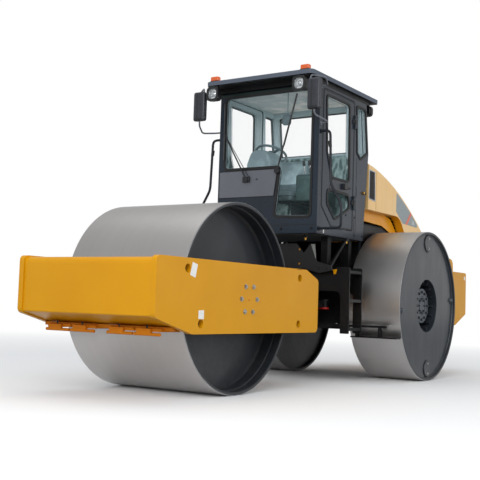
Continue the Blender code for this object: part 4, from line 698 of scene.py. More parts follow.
# Rear wheels.
wheel = dict(axle=3.186, height=0.85, radius=0.85, inner=0.544, outer=1.154, shell=0.03, face=1.124,
             disc=0.02, web=0.594, opening=0.30, cupWall=0.015, flangeFace=1.06, flange=0.20,
             flangeThick=0.126, edge=0.004, axleBore=0.1702, hubBore=0.1008, coverRing=0.716, plugRing=0.752,
             steps=256)
cover = dict(flat=0.089, radius=0.094, seal=0.101, bevel=0.008, high=0.012)
boltRings = ((0.158, 12, 0.026), (0.080, 8, 0.018))  # reach, count, across
hubWebs = dict(count=16, x=1.02, half=0.06, foot=0.262, thick=0.007)


def makeWheel(word, side):
    (axle, height, radius, inner, outer, shell, face, disc, web, opening, cupWall, flangeFace, flange,
     flangeThick, edge, axleBore, hubBore, coverRing, plugRing, steps) = wheel.values()
    bore, back, cup, groove = radius - shell, flangeFace - flangeThick, opening + cupWall, flangeFace - 0.006
    form = Form()

    def turn(profile, finish, count=steps, out=0.0, place=(axle, height)):
        moved = [(reach, along + out, *rest) for reach, along, *rest in profile]
        form.turned(moved, place, finish, side, count)

    turn([
        (radius, outer - edge, treadSteel), (radius, inner + edge, rimSteel),
        (radius - edge, inner, slatePaint), (bore + edge, inner), (bore, inner + edge), (bore, web),
        (axleBore, web), (axleBore, web + disc), (bore, web + disc), (bore, outer - edge),
        (bore + edge, outer), (radius - edge, outer, rimSteel),
    ], treadSteel)
    turn([
        (bore - 0.001, face, discSteel), (bore - 0.001, face - disc), (cup, face - disc), (cup, back - 0.02),
        (0.17, back - 0.02), (0.17, 0.564), (hubBore, 0.564), (hubBore, back + 0.01), (0, back + 0.01),
        (0, flangeFace, hubSteel), (0.06, flangeFace), (0.065, groove), (0.105, groove), (0.11, flangeFace),
        (flange - edge, flangeFace), (flange, flangeFace - edge), (flange, back), (opening, back, discSteel),
        (opening, face - edge), (opening + edge, face), (opening + 0.02, face),
    ], discSteel)
    turn([(bore, face + 0.007), (bore - 0.009, face - 0.001), (bore, face - 0.001)], discSteel)
    for reach, count, across in boltRings:
        spots = [(side * flangeFace, y, z) for y, z in ring(axle, height, reach, count)]
        form.bolts(spots, (side, 0, 0), discSteel, across, 0.014)
    # Webs between hub and opening.
    count, middle, half, foot, thick = hubWebs.values()
    for step in range(count):
        turned = Matrix.Rotation(math.radians(360 / count * step), 4, "X")
        lean = Matrix.Translation((0, axle, height)) @ turned
        form.box((side * middle - half, foot, -thick), (side * middle + half, opening + 0.003, thick),
                 discSteel, 0.002, lean)

    def around(reach, degrees):
        angle = math.radians(degrees)
        return axle + reach * math.cos(angle), height + reach * math.sin(angle)

    # Round covers let in near the top and the bottom, each on two bolts; a black ring round each is painted
    # shade for the groove at its edge.
    flat, rim, seam, bevel, high = cover.values()
    for degrees in (91.3, 271.3):
        y, z = around(coverRing, degrees)
        turn([(0, 0), (0, high), (flat, high), (rim, bevel), (rim, 0)], discSteel, 64, face, (y, z))
        turn([(rim, -0.001), (rim, 0.004), (seam, 0.004), (seam, -0.001)], rubber, 64, face, (y, z))
        out = side * (face + high)
        spots = [(out, y + 0.008, z + 0.058), (out, y + 0.004, z - 0.058)]
        form.bolts(spots, (side, 0, 0), zincSteel, 0.02, 0.008)
    # Lifting plugs before and behind the axle, each on a black disc that is painted shade for its recess.
    for degrees in (5.3, 185.3):
        y, z = around(plugRing, degrees)
        turn([(0, 0), (0, 0.005), (0.036, 0.005), (0.040, 0.001), (0.040, 0)], rubber, 32, face, (y, z))
        stud = [(0, 0), (0, 0.028), (0.014, 0.026), (0.025, 0.017), (0.029, 0)]
        turn(stud, hubSteel, 28, face + 0.002, (y, z + 0.012))
    form.made(f"rolling_wheel_{word}", f"rear_wheel_{word}", "rolled_steel", f"rear_wheel_{word}",
              f"wheel_disc_{word}")


for word, side in sides:
    makeWheel(word, side)
print("drum and wheels turned")

# Front frame: side plates, box beams and the drum scraper.
plate = dict(inner=0.692, outer=0.742, front=-1.302, knee=-0.815, rear=1.266, shoulder=1.02, top=1.154,
             bottom=0.545, nose=0.675, shoulderTop=1.06, edge=0.021, hole=0.036)
liftHoles = ((-0.904, 1.07), (-0.708, 0.629), (0.893, 1.066), (0.884, 0.627))
carrier = dict(height=0.85, inner=0.672, radius=0.21, shaftOuter=0.674, shaftInner=0.472, shaft=0.139,
               plug=0.837, plugRadius=0.007)
carrierBolts = ((-0.058, 0.952), (0.069, 0.954), (-0.121, 0.845), (0.131, 0.844), (-0.063, 0.735),
                (0.065, 0.734))
plateLabels = (((-0.845, 1.123), (-0.775, 1.106), (-0.803, 0.997), (-0.875, 1.018)),
               ((-0.743, 0.738), (-0.668, 0.739), (-0.668, 0.666), (-0.743, 0.669)))


def makeSidePlate(word, side):
    inner, outer, front, knee, rear, shoulder, top, bottom, nose, shoulderTop, edge, hole = plate.values()
    form = Form()
    outline = softOutline((
        (front, nose, 0.05), (knee, bottom, 0.08), (rear, bottom, 0.06), (rear, shoulderTop, 0.05),
        (shoulder, top, 0.04), (front, top, 0.05)), 0.05, 8)
    form.slab(outline, "X", side * inner, side * outer, frameEnamel, [ring(y, z, hole) for y, z in liftHoles],
              edge, segments=5)
    near = side * (inner + 0.001)
    # A black disc closes each lift hole at the plate's inner face: painted shade for the inside of the hole.
    for y, z in liftHoles:
        form.bar((near, y, z), (near + side * 0.003, y, z), hole + 0.002, chassisBlack, 24, 0)
    # The drum's bearing carrier and its shaft.
    axle, carrierInner, radius, shaftOuter, shaftInner, shaft, plug, plugRadius = carrier.values()
    form.bar((near, 0, axle), (side * carrierInner, 0, axle), radius, slatePaint, 64, 0.003)
    form.bar((side * shaftOuter, 0, axle), (side * shaftInner, 0, axle), shaft, slatePaint, 64, 0.003)
    face = side * outer
    form.bolts([(face, y, z) for y, z in carrierBolts], (side, 0, 0), zincSteel, 0.030, 0.014)
    form.bar((face - side * 0.004, 0, plug), (face + side * 0.003, 0, plug), plugRadius, warningRed, 12)
    form.box((face - side * 0.03, 0.824, 1.146), (face, 0.925, 1.156), frameEnamel, 0.002)
    for corners in plateLabels:
        form.film(softOutline(corners, 0.004), side, outer, whiteMark, high=0.0008)
    form.made(f"frame_plate_{word}", "front_frame", "frame_yellow", f"side_plate_{word}")


for word, side in sides:
    makeSidePlate(word, side)


beam = dict(front=-1.287, back=-0.93, top=1.142, bottom=0.682, fall=0.13 / 0.487, wall=0.03, half=0.6917)


def makeFrontBeam():
    front, back, top, bottom, fall, wall, half = beam.values()
    low = bottom - fall * (back - front)
    outline = softOutline((
        (front, top, 0.06), (front, bottom, 0.018), (back, low, 0.004), (back, low + wall, 0.004),
        (front + wall, bottom + wall), (front + wall, top - wall), (back, top - wall, 0.004),
        (back, top, 0.004),
    ), 0.02, 8)
    form = Form().slab(outline, "X", -half, half, frameEnamel)
    form.made("nose_beam", "front_frame", "frame_yellow", "front_beam")


makeFrontBeam()
dressed("rear_beam", frameEnamel, "hitch_beam", "front_frame", "frame_yellow", 0.006)

scraper = dict(units=(-0.6195, -0.335, 0.0704, 0.3546), slot=(0.132, 0.148))


def makeFrontScraper():
    # Four spring-held blades on one bar; a thin black patch on each hanger is painted shade standing for its
    # slot.
    form = Form().node("front_scraper", holderShadedYellow, 0.002)
    low, high = scraper["slot"]
    # Black patches on the hangers: painted shade for their slots.
    for near in scraper["units"]:
        form.box((near + low, -1.0875, 0.585), (near + high, -1.0845, 0.612), chassisBlack, 0.001)
    form.made("drum_scraper", "front_frame", "frame_yellow", "front_scraper")


makeFrontScraper()
print("front frame made")

# Rear chassis, axle, engine, steps, cylinders and wheel scrapers.
chassisSet = dict(lug=(0.770, 0.800), lugX=(0.14, 0.37), lugY=(2.15, 2.35), bracket=(1.640, 1.668),
                  houseLow=1.30, house=(2.6, 3.7), mounts=((0.382, 1.62), (0.585, 2.17)), under=1.5495,
                  bracketFace=1.6465, hose=(0.502, 1.772))
# A cab mount's rounds under the floor: from, to, radius, finish, corners.
mountRounds = ((0, 0.028, 0.028, rubber, 24), (0.028, 0.033, 0.018, brassZinc, 20),
               (0.033, 0.052, 0.010, brassZinc, 6))
bracketTag = ((0.434, 1.456), (0.480, 1.456), (0.496, 1.300), (0.484, 1.322))


def within(value, limits):
    return limits[0] < value < limits[1]


def chassisFinish(face):
    # Red on the lower cylinder lugs, grey on the bracket and on the housing between the wheels.
    spot = face.calc_center_median()
    size = chassisSet
    if within(spot.z, size["lug"]) and within(abs(spot.x), size["lugX"]) and within(spot.y, size["lugY"]):
        return warningRed
    if within(spot.y, size["bracket"]):
        return bracketGrey
    return houseGrey if spot.z > size["houseLow"] and within(spot.y, size["house"]) else chassisBlack


def makeChassis():
    form = Form().node("rear_chassis", chassisFinish, 0.004)
    under, face = chassisSet["under"], chassisSet["bracketFace"]
    hoseX, hoseZ = chassisSet["hose"]
    for side in (1, -1):
        # Cab mounts: a rubber block and a bolt under it.
        for x, y in chassisSet["mounts"]:
            for high, low, radius, finish, count in mountRounds:
                form.bar((side * x, y, under - high), (side * x, y, under - low), radius, finish, count)
        # A stay from the rear cab mount down to the ladder, and a pale plate by the bracket's edge.
        form.bar((side * 0.585, 2.13, 1.515), (side * 0.56, 1.83, 1.21), 0.018, chassisBlack, 16)
        form.slab([(side * x, z) for x, z in bracketTag], "Y", 1.649, 1.655, greyCast)
        spots = [(side * 0.53, face, 1.205), (side * 0.62, face, 1.200)]
        form.bolts(spots, (0, -1, 0), bracketGrey, 0.018, 0.008)
        form.tube([(side * hoseX, 2.70, hoseZ), (side * hoseX, 3.60, hoseZ)], 0.006, rubber, 0.0)
        # Grease points on the bearer.
        spots = [(side * 0.30, face, z) for z in (1.40, 1.25)]
        form.bolts(spots, (0, -1, 0), brassZinc, 0.014, 0.01)
    form.made("chassis", "rear_frame", "black_steel", "rear_chassis")


ladderTag = ((0.655, 1.192), (0.705, 1.196), (0.690, 1.146), (0.668, 1.142))


def makeLadder(word, side):
    form = Form().node(f"steps_{word}", chassisBlack, 0.003)
    form.slab([(side * x, z) for x, z in ladderTag], "Y", 1.7325, 1.7352, frameEnamel)
    spots = [(side * 0.80, 1.7345, z) for z in (1.17, 0.62)]
    form.bolts(spots, (0, -1, 0), chassisBlack, 0.018, 0.007)
    form.made(f"ladder_{word}", "rear_frame", "black_steel", f"steps_{word}")


def makeWheelScraper(word, side):
    form = Form().node(f"rear_scraper_{word}", chassisBlack, 0.002)
    form.bolts([(side * x, 2.306, 0.6185) for x in (0.42, 0.86, 1.06)], (0, 0, 1), zincSteel, 0.018, 0.007)
    form.made(f"wheel_scraper_{word}", "rear_frame", "black_steel", f"rear_scraper_{word}")


makeChassis()
dressed("rear_axle", chassisBlack, "axle_beam", "rear_frame", "black_steel")
dressed("engine_block", slatePaint, "engine", "rear_frame", "dark_steel")
for word, side in sides:
    makeLadder(word, side)
    barrel, rod = f"steering_barrel_{word}", f"steering_rod_{word}"
    dressed(barrel, chassisBlack, f"cylinder_barrel_{word}", barrel, "black_steel", 0.0015)
    dressed(rod, chromeRod, f"cylinder_rod_{word}", rod, "chrome", 0.0015)
    makeWheelScraper(word, side)

# Counterweight: its back drawn in a little, with lamps and reflectors set in it.
weight = dict(draw=0.005, back=4.999, half=0.95)
tailLamps = ((0.80, 1.16, 0.13, 0.075, redLens), (0.65, 1.16, 0.13, 0.075, amberLens),
             (0.72, 0.92, 0.09, 0.05, redLens))  # x, z, width, height, finish
weightLabel = ((4.915, 1.262), (4.962, 1.260), (4.962, 1.215), (4.915, 1.217))


def makeWeight():
    draw, far, half = weight.values()
    near = far - draw - 0.002
    form = Form().node("counterweight", frameEnamel, 0.012, 4)
    for vert in form.body.verts:
        if vert.co.y > far - 0.099:
            vert.co.y -= draw
    for side in (1, -1):
        for x, z, wide, high, finish in tailLamps:
            outline = plainBox(side * x, z, wide, high)
            form.slab(softOutline(grown(outline, 0.010), 0.014), "Y", near, far - 0.0015, rubber)
            form.slab(softOutline(outline, 0.010), "Y", near, far, finish, roundness=0.001)
        # A blank white label on the side's upper rear corner.
        form.film(weightLabel, side, half, whiteMark, high=0.0004)
    form.slab(softOutline(plainBox(0, 0.94, 0.52, 0.16), 0.012), "Y", near, far - 0.001, chassisBlack,
              roundness=0.001)
    form.bolts([(x, far - 0.0015, 0.94) for x in (-0.22, 0.22)], (0, 1, 0), zincSteel, 0.022, 0.001)
    form.made("tail_weight", "rear_frame", "frame_yellow", "counterweight")


makeWeight()
print("chassis, ladders and counterweight made")

# Cab. Outlines are (y, z) on the sides and (x, z) at the front.
cab = dict(half=0.624, front=1.416, glass=1.426, sideGlass=0.610, doorGlass=0.584, rearY=2.49,
           rearSlope=0.106, sill=(2.596, 2.55), lean=-0.138)
screen = ((-0.545, 2.262), (0.165, 2.262), (0.105, 1.735), (0.545, 1.72), (0.545, 3.06), (-0.545, 3.06))
doorUpper = ((1.712, 2.165), (2.125, 2.165), (2.105, 3.02), (1.567, 3.02), (1.60, 2.42))
doorLower = ((1.799, 1.725), (2.14, 1.88), (2.115, 2.02), (1.625, 2.03), (1.62, 1.88))
doorEdge = ((1.499, 1.842), (1.722, 1.644), (2.221, 1.644), (2.221, 3.071), (1.499, 3.071))
doorBand = ((1.655, 2.046), (2.120, 2.036), (2.132, 2.148), (1.735, 2.148))
quarter = ((2.303, 2.52), (2.39, 2.46), (2.565, 2.555), (2.495, 3.04), (2.275, 3.04))
seal = dict(out=0.007, lip=0.013, lipBend=0.012, reach=0.012, cover=0.012, gap=0.0005, line=0.016)


def addSeal(form, outline, corner, axis, glass, face, place=None):
    # Rubber round a window: a lip over the sheet, a bead at the mouth of the gap, and a pale inner line. The
    # outside lies towards face, the pane at glass.
    out = math.copysign(seal["out"], face - glass)
    wide = softOutline(grown(outline, seal["lip"]), corner + seal["lipBend"])
    narrow, inside, line = [softOutline(grown(outline, -seal[key]), corner)
                            for key in ("cover", "gap", "line")]
    mouth = face - math.copysign(min(abs(face - glass), seal["reach"]), out)
    form.slab(wide, axis, face - out * 0.05, face + out, rubber, [narrow], 0.0025, place)
    form.slab(inside, axis, mouth, face, rubber, [narrow], 0, place)
    form.slab(narrow, axis, glass + out * 0.03, glass + out * 0.6, paleSeal, [line], 0, place)


def makeCabFront():
    def finish(face):
        if face.normal.y > 0.5:
            return interiorTrim
        return bandGreen if face.calc_center_median().z > 3.0 else cabPaint

    front = cab["front"]
    form = Form().node("cab_front", finish, 0.003)
    addSeal(form, screen, 0.05, "Y", cab["glass"], front)
    # The wiper's panel with its rubber edges and one bolt, and the dark band over the screen.
    panel = softOutline(((-0.603, 2.240), (0.138, 2.240), (0.100, 1.955), (-0.603, 1.955)), 0.010)
    top = softOutline(((-0.606, 2.246), (0.145, 2.246), (0.1445, 2.238), (-0.606, 2.238)), 0.002)
    rim = [(0.1445, 2.246), (0.100, 1.945), (0.092, 1.945), (0.134, 2.240)]
    band = plainBox(0, 3.088, 1.224, 0.028)
    for outline, out, finish, roundness in ((panel, 0.004, panelPaint, 0.0015), (top, 0.006, rubber, 0),
                                            (rim, 0.006, rubber, 0), (band, 0.001, bandGreen, 0)):
        form.slab(outline, "Y", front - out, front + 0.001, finish, roundness=roundness)
    form.bolts([(-0.12, front - 0.004, 2.141)], (0, -1, 0), hubSteel, 0.016, 0.006)
    # Seams and bolts in the lower panel, and the band behind the top of the screen.
    form.tube([(-0.622, front, 1.950), (0.096, front, 1.950)], 0.0025, rubber, 0.0)
    form.tube([(-0.622, front, 1.640), (0.622, front, 1.640)], 0.002, rubber, 0.0)
    spots = [(x, front - 0.0005, 1.60) for x in (-0.56, -0.2, 0.2, 0.56)]
    form.bolts(spots, (0, -1, 0), chassisBlack, 0.018, 0.007)
    form.box((-0.56, 1.4335, 3.048), (0.56, 1.4395, 3.07), bandGreen, 0.001)
    form.made("cab_front_wall", "rear_frame", "cab_grey", "cab_front")


sideSeams = (((1.471, 1.606), (1.600, 1.628), (1.912, 1.630), (2.234, 1.650)),
             ((2.262, 1.82), (2.262, 1.565)), ((2.300, 2.46), (2.300, 1.565)), ((1.43, 1.560), (2.50, 1.560)))
sideBolts = ((2.275, 1.595), (2.275, 1.79), (1.482, 1.59), (2.47, 1.60))
labels = ((1.562, 1.602, whiteMark), (1.602, 1.609, amberLens))  # foot, top, finish
windowZone = dict(y=(2.29, 2.58), z=(2.44, 3.05), rear=2.4)


def makeCabSide(word, side):
    def finish(face):
        # Pale inside and round the window.
        spot, normal = face.calc_center_median(), face.normal
        inWindow = within(spot.y, windowZone["y"]) and within(spot.z, windowZone["z"]) and abs(normal.x) < 0.5
        inWindow = inWindow and not (normal.y > 0.5 and spot.y > windowZone["rear"])
        return interiorTrim if inWindow or normal.x * side < -0.5 else cabPaint

    half = cab["half"]
    face = side * half
    form = Form().node(f"cab_side_{word}", finish, 0.003)
    addSeal(form, quarter, 0.03, "X", side * cab["sideGlass"], face)
    for route in sideSeams:
        form.tube([(face, y, z) for y, z in route], 0.0022, rubber, 0.02)
    for foot, top, label in labels:
        form.film([(1.553, foot), (1.572, foot), (1.572, top), (1.553, top)], side, half, label)
    form.bolts([(face, y, z) for y, z in sideBolts], (side, 0, 0), chassisBlack, 0.014, 0.005)
    # The door's catch behind its pillar: a brass pin, a black socket and its plate.
    near = face - side * 0.002
    form.bar((near, 2.475, 2.09), (face + side * 0.020, 2.475, 2.09), 0.016, brassZinc, 16)
    form.bar((near, 2.505, 2.088), (face + side * 0.026, 2.505, 2.088), 0.018, blackPlastic, 16, tip=0.010)
    form.box((face - side * 0.001, 2.30, 2.02), (face + side * 0.004, 2.318, 2.14), blackPlastic, 0.001)
    form.made(f"cab_wall_{word}", "rear_frame", "cab_grey", f"cab_side_{word}")


def makeCabRear():
    def finish(face):
        # Creased foil with painted highlights and reflection under the window, pale round it.
        spot, normal = face.calc_center_median(), face.normal
        if normal.y < -0.5:
            return liningFoilReflection if spot.z < 2.56 else interiorTrim
        inWindow = normal.y < 0.5 and abs(spot.x) < 0.53 and within(spot.z, (2.56, 3.05))
        return interiorTrim if inWindow else cabPaint

    def backAt(z):
        return cab["rearY"] + cab["rearSlope"] * (z - 1.55)

    sillY, sillZ = cab["sill"]
    lean = cab["lean"]
    tilt = Matrix(((1, 0, 0, 0), (0, 1, lean, -lean * sillZ), (0, 0, 1, 0), (0, 0, 0, 1)))
    form = Form().node("cab_rear", finish, 0.003)
    addSeal(form, plainBox(0, 2.805, 1.04, 0.47), 0.03, "Y", sillY - 0.019, sillY, tilt)
    for z in (1.75, 2.10, 2.45):
        form.tube([(-0.57, backAt(z), z), (0.57, backAt(z), z)], 0.0025, rubber, 0.0)
    # Air slots low in the back.
    form.repeat(slatTree, [(0, backAt(1.86) + 0.001, 1.86)], chassisBlack, Step=(0, 0.00159, 0.015), Count=10,
                Size=(0.5, 0.004, 0.006))
    form.made("cab_rear_wall", "rear_frame", "cab_grey", "cab_rear")


roof = dict(half=0.6613, front=1.1712, back=2.7493, plate=3.16, capLow=3.176, capTop=3.2023, ribHalf=0.04,
            ribs=(-0.42, -0.14, 0.14, 0.42))
insideMirror = dict(x=0.15, z=2.79, wide=0.104, high=0.118, front=1.545, back=1.566, stem=1.57)


def makeRoof():
    def finish(face):
        return roofPaint if face.calc_center_median().z > plate else chassisBlack

    half, front, back, plate, capLow, capTop, ribHalf, ribs = roof.values()
    form = Form(30).node("cab_roof", finish, 0.004)
    edge = ((-half, front, 0.06), (half, front, 0.06), (half, back, 0.03), (-half, back, 0.03))
    form.slab(softOutline(edge, 0.06, 6), "Z", capLow, capTop, roofPaint, roundness=0.003)
    # Ribs pressed in the top, and the lining under it.
    for x in ribs:
        form.box((x - ribHalf, 1.36, 3.196), (x + ribHalf, 2.58, 3.2045), roofPaint, 0.004)
    form.box((-0.575, 1.47, 3.098), (0.575, 2.46, 3.1075), headliner)
    # Inside mirror on its stem.
    x, z, wide, high, front, back, stem = insideMirror.values()
    form.bar((x, stem, 3.10), (x, stem, 2.83), 0.007, columnGrey, 12)
    form.slab(softOutline(plainBox(x, z, wide, high), 0.032), "Y", front, back, wheelGrey, roundness=0.005)
    form.made("roof_cap", "rear_frame", "cab_grey", "cab_roof")


doorZone = dict(hinge=0.6245, y=(1.53, 2.17), z=(1.70, 3.04), cutCorner=3.42)


def makeDoor(word, side):
    def finish(face):
        # Hinges black; pale inside and round the windows.
        spot, normal = face.calc_center_median(), face.normal
        if abs(spot.x) > doorZone["hinge"]:
            return blackPlastic
        inWindow = within(spot.y, doorZone["y"]) and within(spot.z, doorZone["z"])
        inWindow = inWindow and spot.y + spot.z > doorZone["cutCorner"]
        return interiorTrim if inWindow and abs(normal.x) < 0.5 or normal.x * side < -0.5 else cabPaint

    half = cab["half"]
    face = side * half
    form = Form().node(f"door_{word}", finish, 0.0025)
    for outline in (doorUpper, doorLower):
        addSeal(form, outline, 0.05, "X", side * cab["doorGlass"], face)
    form.film(softOutline(doorBand, 0.012), side, half, glossBlue, high=0.003, roundness=0.001)
    form.film(softOutline(doorEdge, 0.035), side, half, rubber, high=0.0015,
              holes=[softOutline(grown(doorEdge, -0.012), 0.028)])
    # Pull handle, its key, and the lower lock.
    form.box((face, 2.020, 2.086), (face + side * 0.030, 2.118, 2.114), blackPlastic, 0.006)
    form.bar((face + side * 0.028, 1.992, 2.112), (face + side * 0.0345, 1.992, 2.112), 0.010, brassZinc, 20)
    form.bar((face + side * 0.002, 2.07, 1.80), (face + side * 0.006, 2.07, 1.80), 0.012, blackPlastic, 20)
    form.made(f"door_frame_{word}", f"door_{word}", "cab_grey", f"door_{word}")


mirrorSet = dict(x=0.709, y=1.143, z=2.93, wide=0.15, high=0.32, rim=(0.144, 0.314), arm=0.009, bend=0.694,
                 wall=0.6243, seat=1.441)


def makeMirror(word, side):
    x, y, z, wide, high, rimSize, arm, bend, wall, seat = mirrorSet.values()
    middle, ridge = side * x, side * x - 0.022
    top, low = z + high / 2, z - high / 2
    form = Form(45)
    form.box((middle - wide / 2, y - 0.03, low), (middle + wide / 2, y + 0.022, top), mirrorShell, 0.024,
             segments=5)
    rim = plainBox(middle, z, *rimSize)
    form.slab(softOutline(rim, 0.028), "Y", y + 0.012, y + 0.0295, blackPlastic, roundness=0.004)
    form.slab(softOutline(grown(rim, -0.010), 0.022), "Y", y + 0.028, y + 0.0300, mirrorGlass)
    # The ridge down the shell, its cap and the clamp's screw.
    form.box((ridge - 0.006, y - 0.0345, z - 0.13), (ridge + 0.006, y - 0.026, z + 0.135), blackPlastic)
    form.box((middle - 0.055, y - 0.031, z - 0.158), (middle + 0.06, y - 0.002, z - 0.122), blackPlastic,
             0.010)
    screwX, screwZ = middle + 0.02, z + 0.02
    form.bar((screwX, y - 0.0315, screwZ), (screwX, y - 0.029, screwZ), 0.006, blackPlastic, 14)
    upper = ((x - 0.05, y, top - 0.03), (x - 0.05, y, top + 0.035), (x + 0.07, y + 0.10, top + 0.02))
    lower = ((x, y, low + 0.02), (x, y, low - 0.05), (x + 0.07, y + 0.16, low - 0.10))
    feet = top - 0.01, low - 0.08
    for start, foot in zip((upper, lower), feet):
        route = (*start, (bend, seat, foot), (wall, seat, foot))
        form.tube([(side * across, along, up) for across, along, up in route], arm, armGrey, 0.04)
    for foot in feet:
        form.bar((side * wall, seat, foot), (side * (wall + 0.006), seat, foot), 0.020, armGrey, 20)
    form.made(f"door_mirror_{word}", "rear_frame", "black_plastic", f"mirror_{word}")


def addLamp(form, x, z, wide, high, front, back, finish):
    # A lamp that looks along Y: a hood, a dish with a bulb shield, a rib across and a clear lens.
    into = 1 if front < back else -1
    outer = softOutline(plainBox(x, z, wide, high), 0.042)
    inner = softOutline(plainBox(x, z, wide - 0.046, high - 0.040), 0.044, 6)
    shell = softOutline(plainBox(x, z, wide - 0.012, high - 0.012), 0.04)
    deep, dish, rib, ribFace = [front + into * reach for reach in (0.045, 0.030, 0.022, 0.012)]
    form.slab(outer, "Y", front, deep, finish, [inner], 0.004)
    form.slab(shell, "Y", deep, back, finish, roundness=0.010)
    form.slab(inner, "Y", dish, deep, reflectorFoil)
    form.bar((x, dish, z + 0.008), (x, front + into * 0.020, z + 0.008), 0.026, reflectorFoil, tip=0.012)
    half = wide / 2
    form.box((x - half + 0.024, rib, z - 0.024), (x + half - 0.024, ribFace, z - 0.020), armGrey, 0)
    form.slab(inner, "Y", front + into * 0.007, front + into * 0.011, lensPane)


workLamp = dict(x=0.534, z=3.05, wide=0.15, high=0.15, front=1.115, back=1.204, stay=(1.19, 1.2215))
rearLamp = dict(x=0.55, z=3.075, wide=0.11, high=0.12, front=2.736, back=2.667, stay=(2.686, 2.716))


def makeLamps(word, side):
    for size, name, node in ((workLamp, "front_lamp", "work_lamp"), (rearLamp, "back_lamp", "rear_lamp")):
        x, z, wide, high, front, back, stay = size.values()
        form = Form()
        addLamp(form, side * x, z, wide, high, front, back, lampHousing)
        form.box((side * x - 0.02, stay[0], z), (side * x + 0.02, stay[1], 3.1515), lampHousing, 0.002)
        form.made(f"{name}_{word}", "rear_frame", "black_plastic", f"{node}_{word}")
    x = side * 0.56
    form = Form(50)
    form.box((x - 0.052, 1.178, 3.2024), (x + 0.052, 1.242, 3.210), blackPlastic, 0.002)
    form.box((x - 0.049, 1.181, 3.208), (x + 0.049, 1.239, 3.2568), amberLens, 0.010, segments=4)
    form.made(f"beacon_{word}", "rear_frame", "amber", f"amber_lamp_{word}")


rail = dict(wall=0.6243, y=1.45, feet=(2.61, 1.60), foot=0.024, footOut=0.633, grip=0.018,
            gripTop=(0.730, 2.50), gripLow=(0.7385, 2.44))


def makeRail(word, side):
    wall, y, feet, foot, footOut, grip, (topX, topZ), (lowX, lowZ) = rail.values()
    form = Form().node(f"grab_rail_{word}", railPaint)
    for height in feet:
        form.bar((side * wall, y, height), (side * footOut, y, height), foot, railPaint, 24)
    form.bar((side * topX, y, topZ), (side * lowX, y, lowZ), grip, rubber, 20)
    form.made(f"handrail_{word}", "rear_frame", "black_steel", f"grab_rail_{word}")


# By side: axle, arm's tip, blade's start and end as (x, z), and how far off a second arm runs.
wipers = dict(right=((-0.241, 2.141), (-0.547, 2.664), (-0.545, 2.37), (-0.551, 3.0), 0.036),
              left=((0.143, 2.215), (0.30, 2.79), (0.215, 2.48), (0.36, 3.02), 0.0))


def makeWiper(word):
    (axleX, axleZ), tip, start, end, apart = wipers[word]
    form = Form().node(f"wiper_{word}", blackPlastic)
    if apart:
        form.tube([(axleX + apart, 1.391, axleZ + 0.02), (tip[0] + apart * 0.3, 1.391, tip[1] - 0.01)], 0.004,
                  blackPlastic, 0.0)
        form.box((axleX - 0.05, 1.388, axleZ - 0.03), (axleX + 0.04, 1.4155, axleZ + 0.032), blackPlastic,
                 0.008)
    form.tube([(start[0], 1.408, start[1]), (end[0], 1.408, end[1])], 0.004, rubber, 0.0)
    form.made(f"wiper_blade_{word}", "rear_frame", "black_plastic", f"wiper_{word}")


makeCabFront()
makeCabRear()
makeRoof()
for word, side in sides:
    for make in (makeCabSide, makeDoor, makeMirror, makeLamps, makeRail):
        make(word, side)
    makeWiper(word)
    dressed(f"door_glass_{word}", tealPane, f"door_pane_{word}", f"door_{word}", "glass")
    dressed(f"quarter_glass_{word}", tealPane, f"quarter_pane_{word}", "rear_frame", "glass")
dressed("windscreen", tealPane, "front_pane", "rear_frame", "glass")
dressed("rear_glass", tealPane, "rear_pane", "rear_frame", "glass")
print("cab made")

# Inside the cab: floor, console, hand wheel, side desk and seat.

mat = dict(place=(0, 1.50, 1.602), step=0.028, ribs=12, size=(1.0, 0.012, 0.004), top=1.62)
desk = dict(low=(0.10, 1.86, 1.945), high=(0.34, 2.38, 2.24),
            levers=((0.17, 1.95), (0.24, 1.95), (0.21, 2.10)), stem=0.006, knob=0.018, knobTip=0.013)
pedals = dict(x=(-0.42, -0.08), half=0.035, foot=(1.53, 1.64), head=(1.545, 1.74), lean=-0.6)


def makeFloor():
    def finish(face):
        # The front face above the floor takes the leaf foil, whose creased pattern is painted reflection.
        return leafFoilReflection if face.normal.y < -0.5 and face.calc_center_median().z > top else floorMat

    place, apart, ribs, size, top = mat.values()
    form = Form().node("cab_floor", finish, 0.004)
    form.repeat(slatTree, [place], floorMat, Step=(0, apart, 0), Count=ribs, Size=size)
    # Side desk with levers, and the two pedals.
    low, high, levers, stem, knob, knobTip = desk.values()
    form.box(low, high, deskGreen, 0.02)
    form.box((0.12, 1.88, 2.235), (0.32, 2.30, 2.252), columnGrey, 0.006)
    for x, y in levers:
        form.bar((x, y, 2.25), (x, y - 0.03, 2.36), stem, chromeRod, 12)
        form.bar((x, y - 0.027, 2.345), (x, y - 0.04, 2.40), knob, blackPlastic, 20, 0.004, tip=knobTip)
    middles, half, foot, head, lean = pedals.values()
    for x in middles:
        form.box((x - half, *foot), (x + half, *head), rubber, place=turnedAbout((0, *foot), lean))
        form.bar((x, 1.535, 1.60), (x, 1.56, 1.66), 0.008, chassisBlack, 12)
    form.made("cab_floor_plate", "rear_frame", "cab_grey", "cab_floor")


column = dict(foot=(-0.35, 1.583, 1.6005), head=(-0.11, 1.783, 2.26), front=1.565, back=1.842, kept=1.80)
columnShell = ((-0.350, 2.18, 0.03), (-0.062, 2.18, 0.03), (-0.052, 2.34, 0.05), (-0.105, 2.488, 0.09),
               (-0.300, 2.488, 0.09), (-0.358, 2.34, 0.05))
dials = dict(x=(-0.285, -0.205, -0.125), z=2.40, ring=0.030, face=0.025)
switches = dict(place=(-0.28, 1.862, 2.350), apart=0.03, count=6, size=(0.02, 0.008, 0.014))


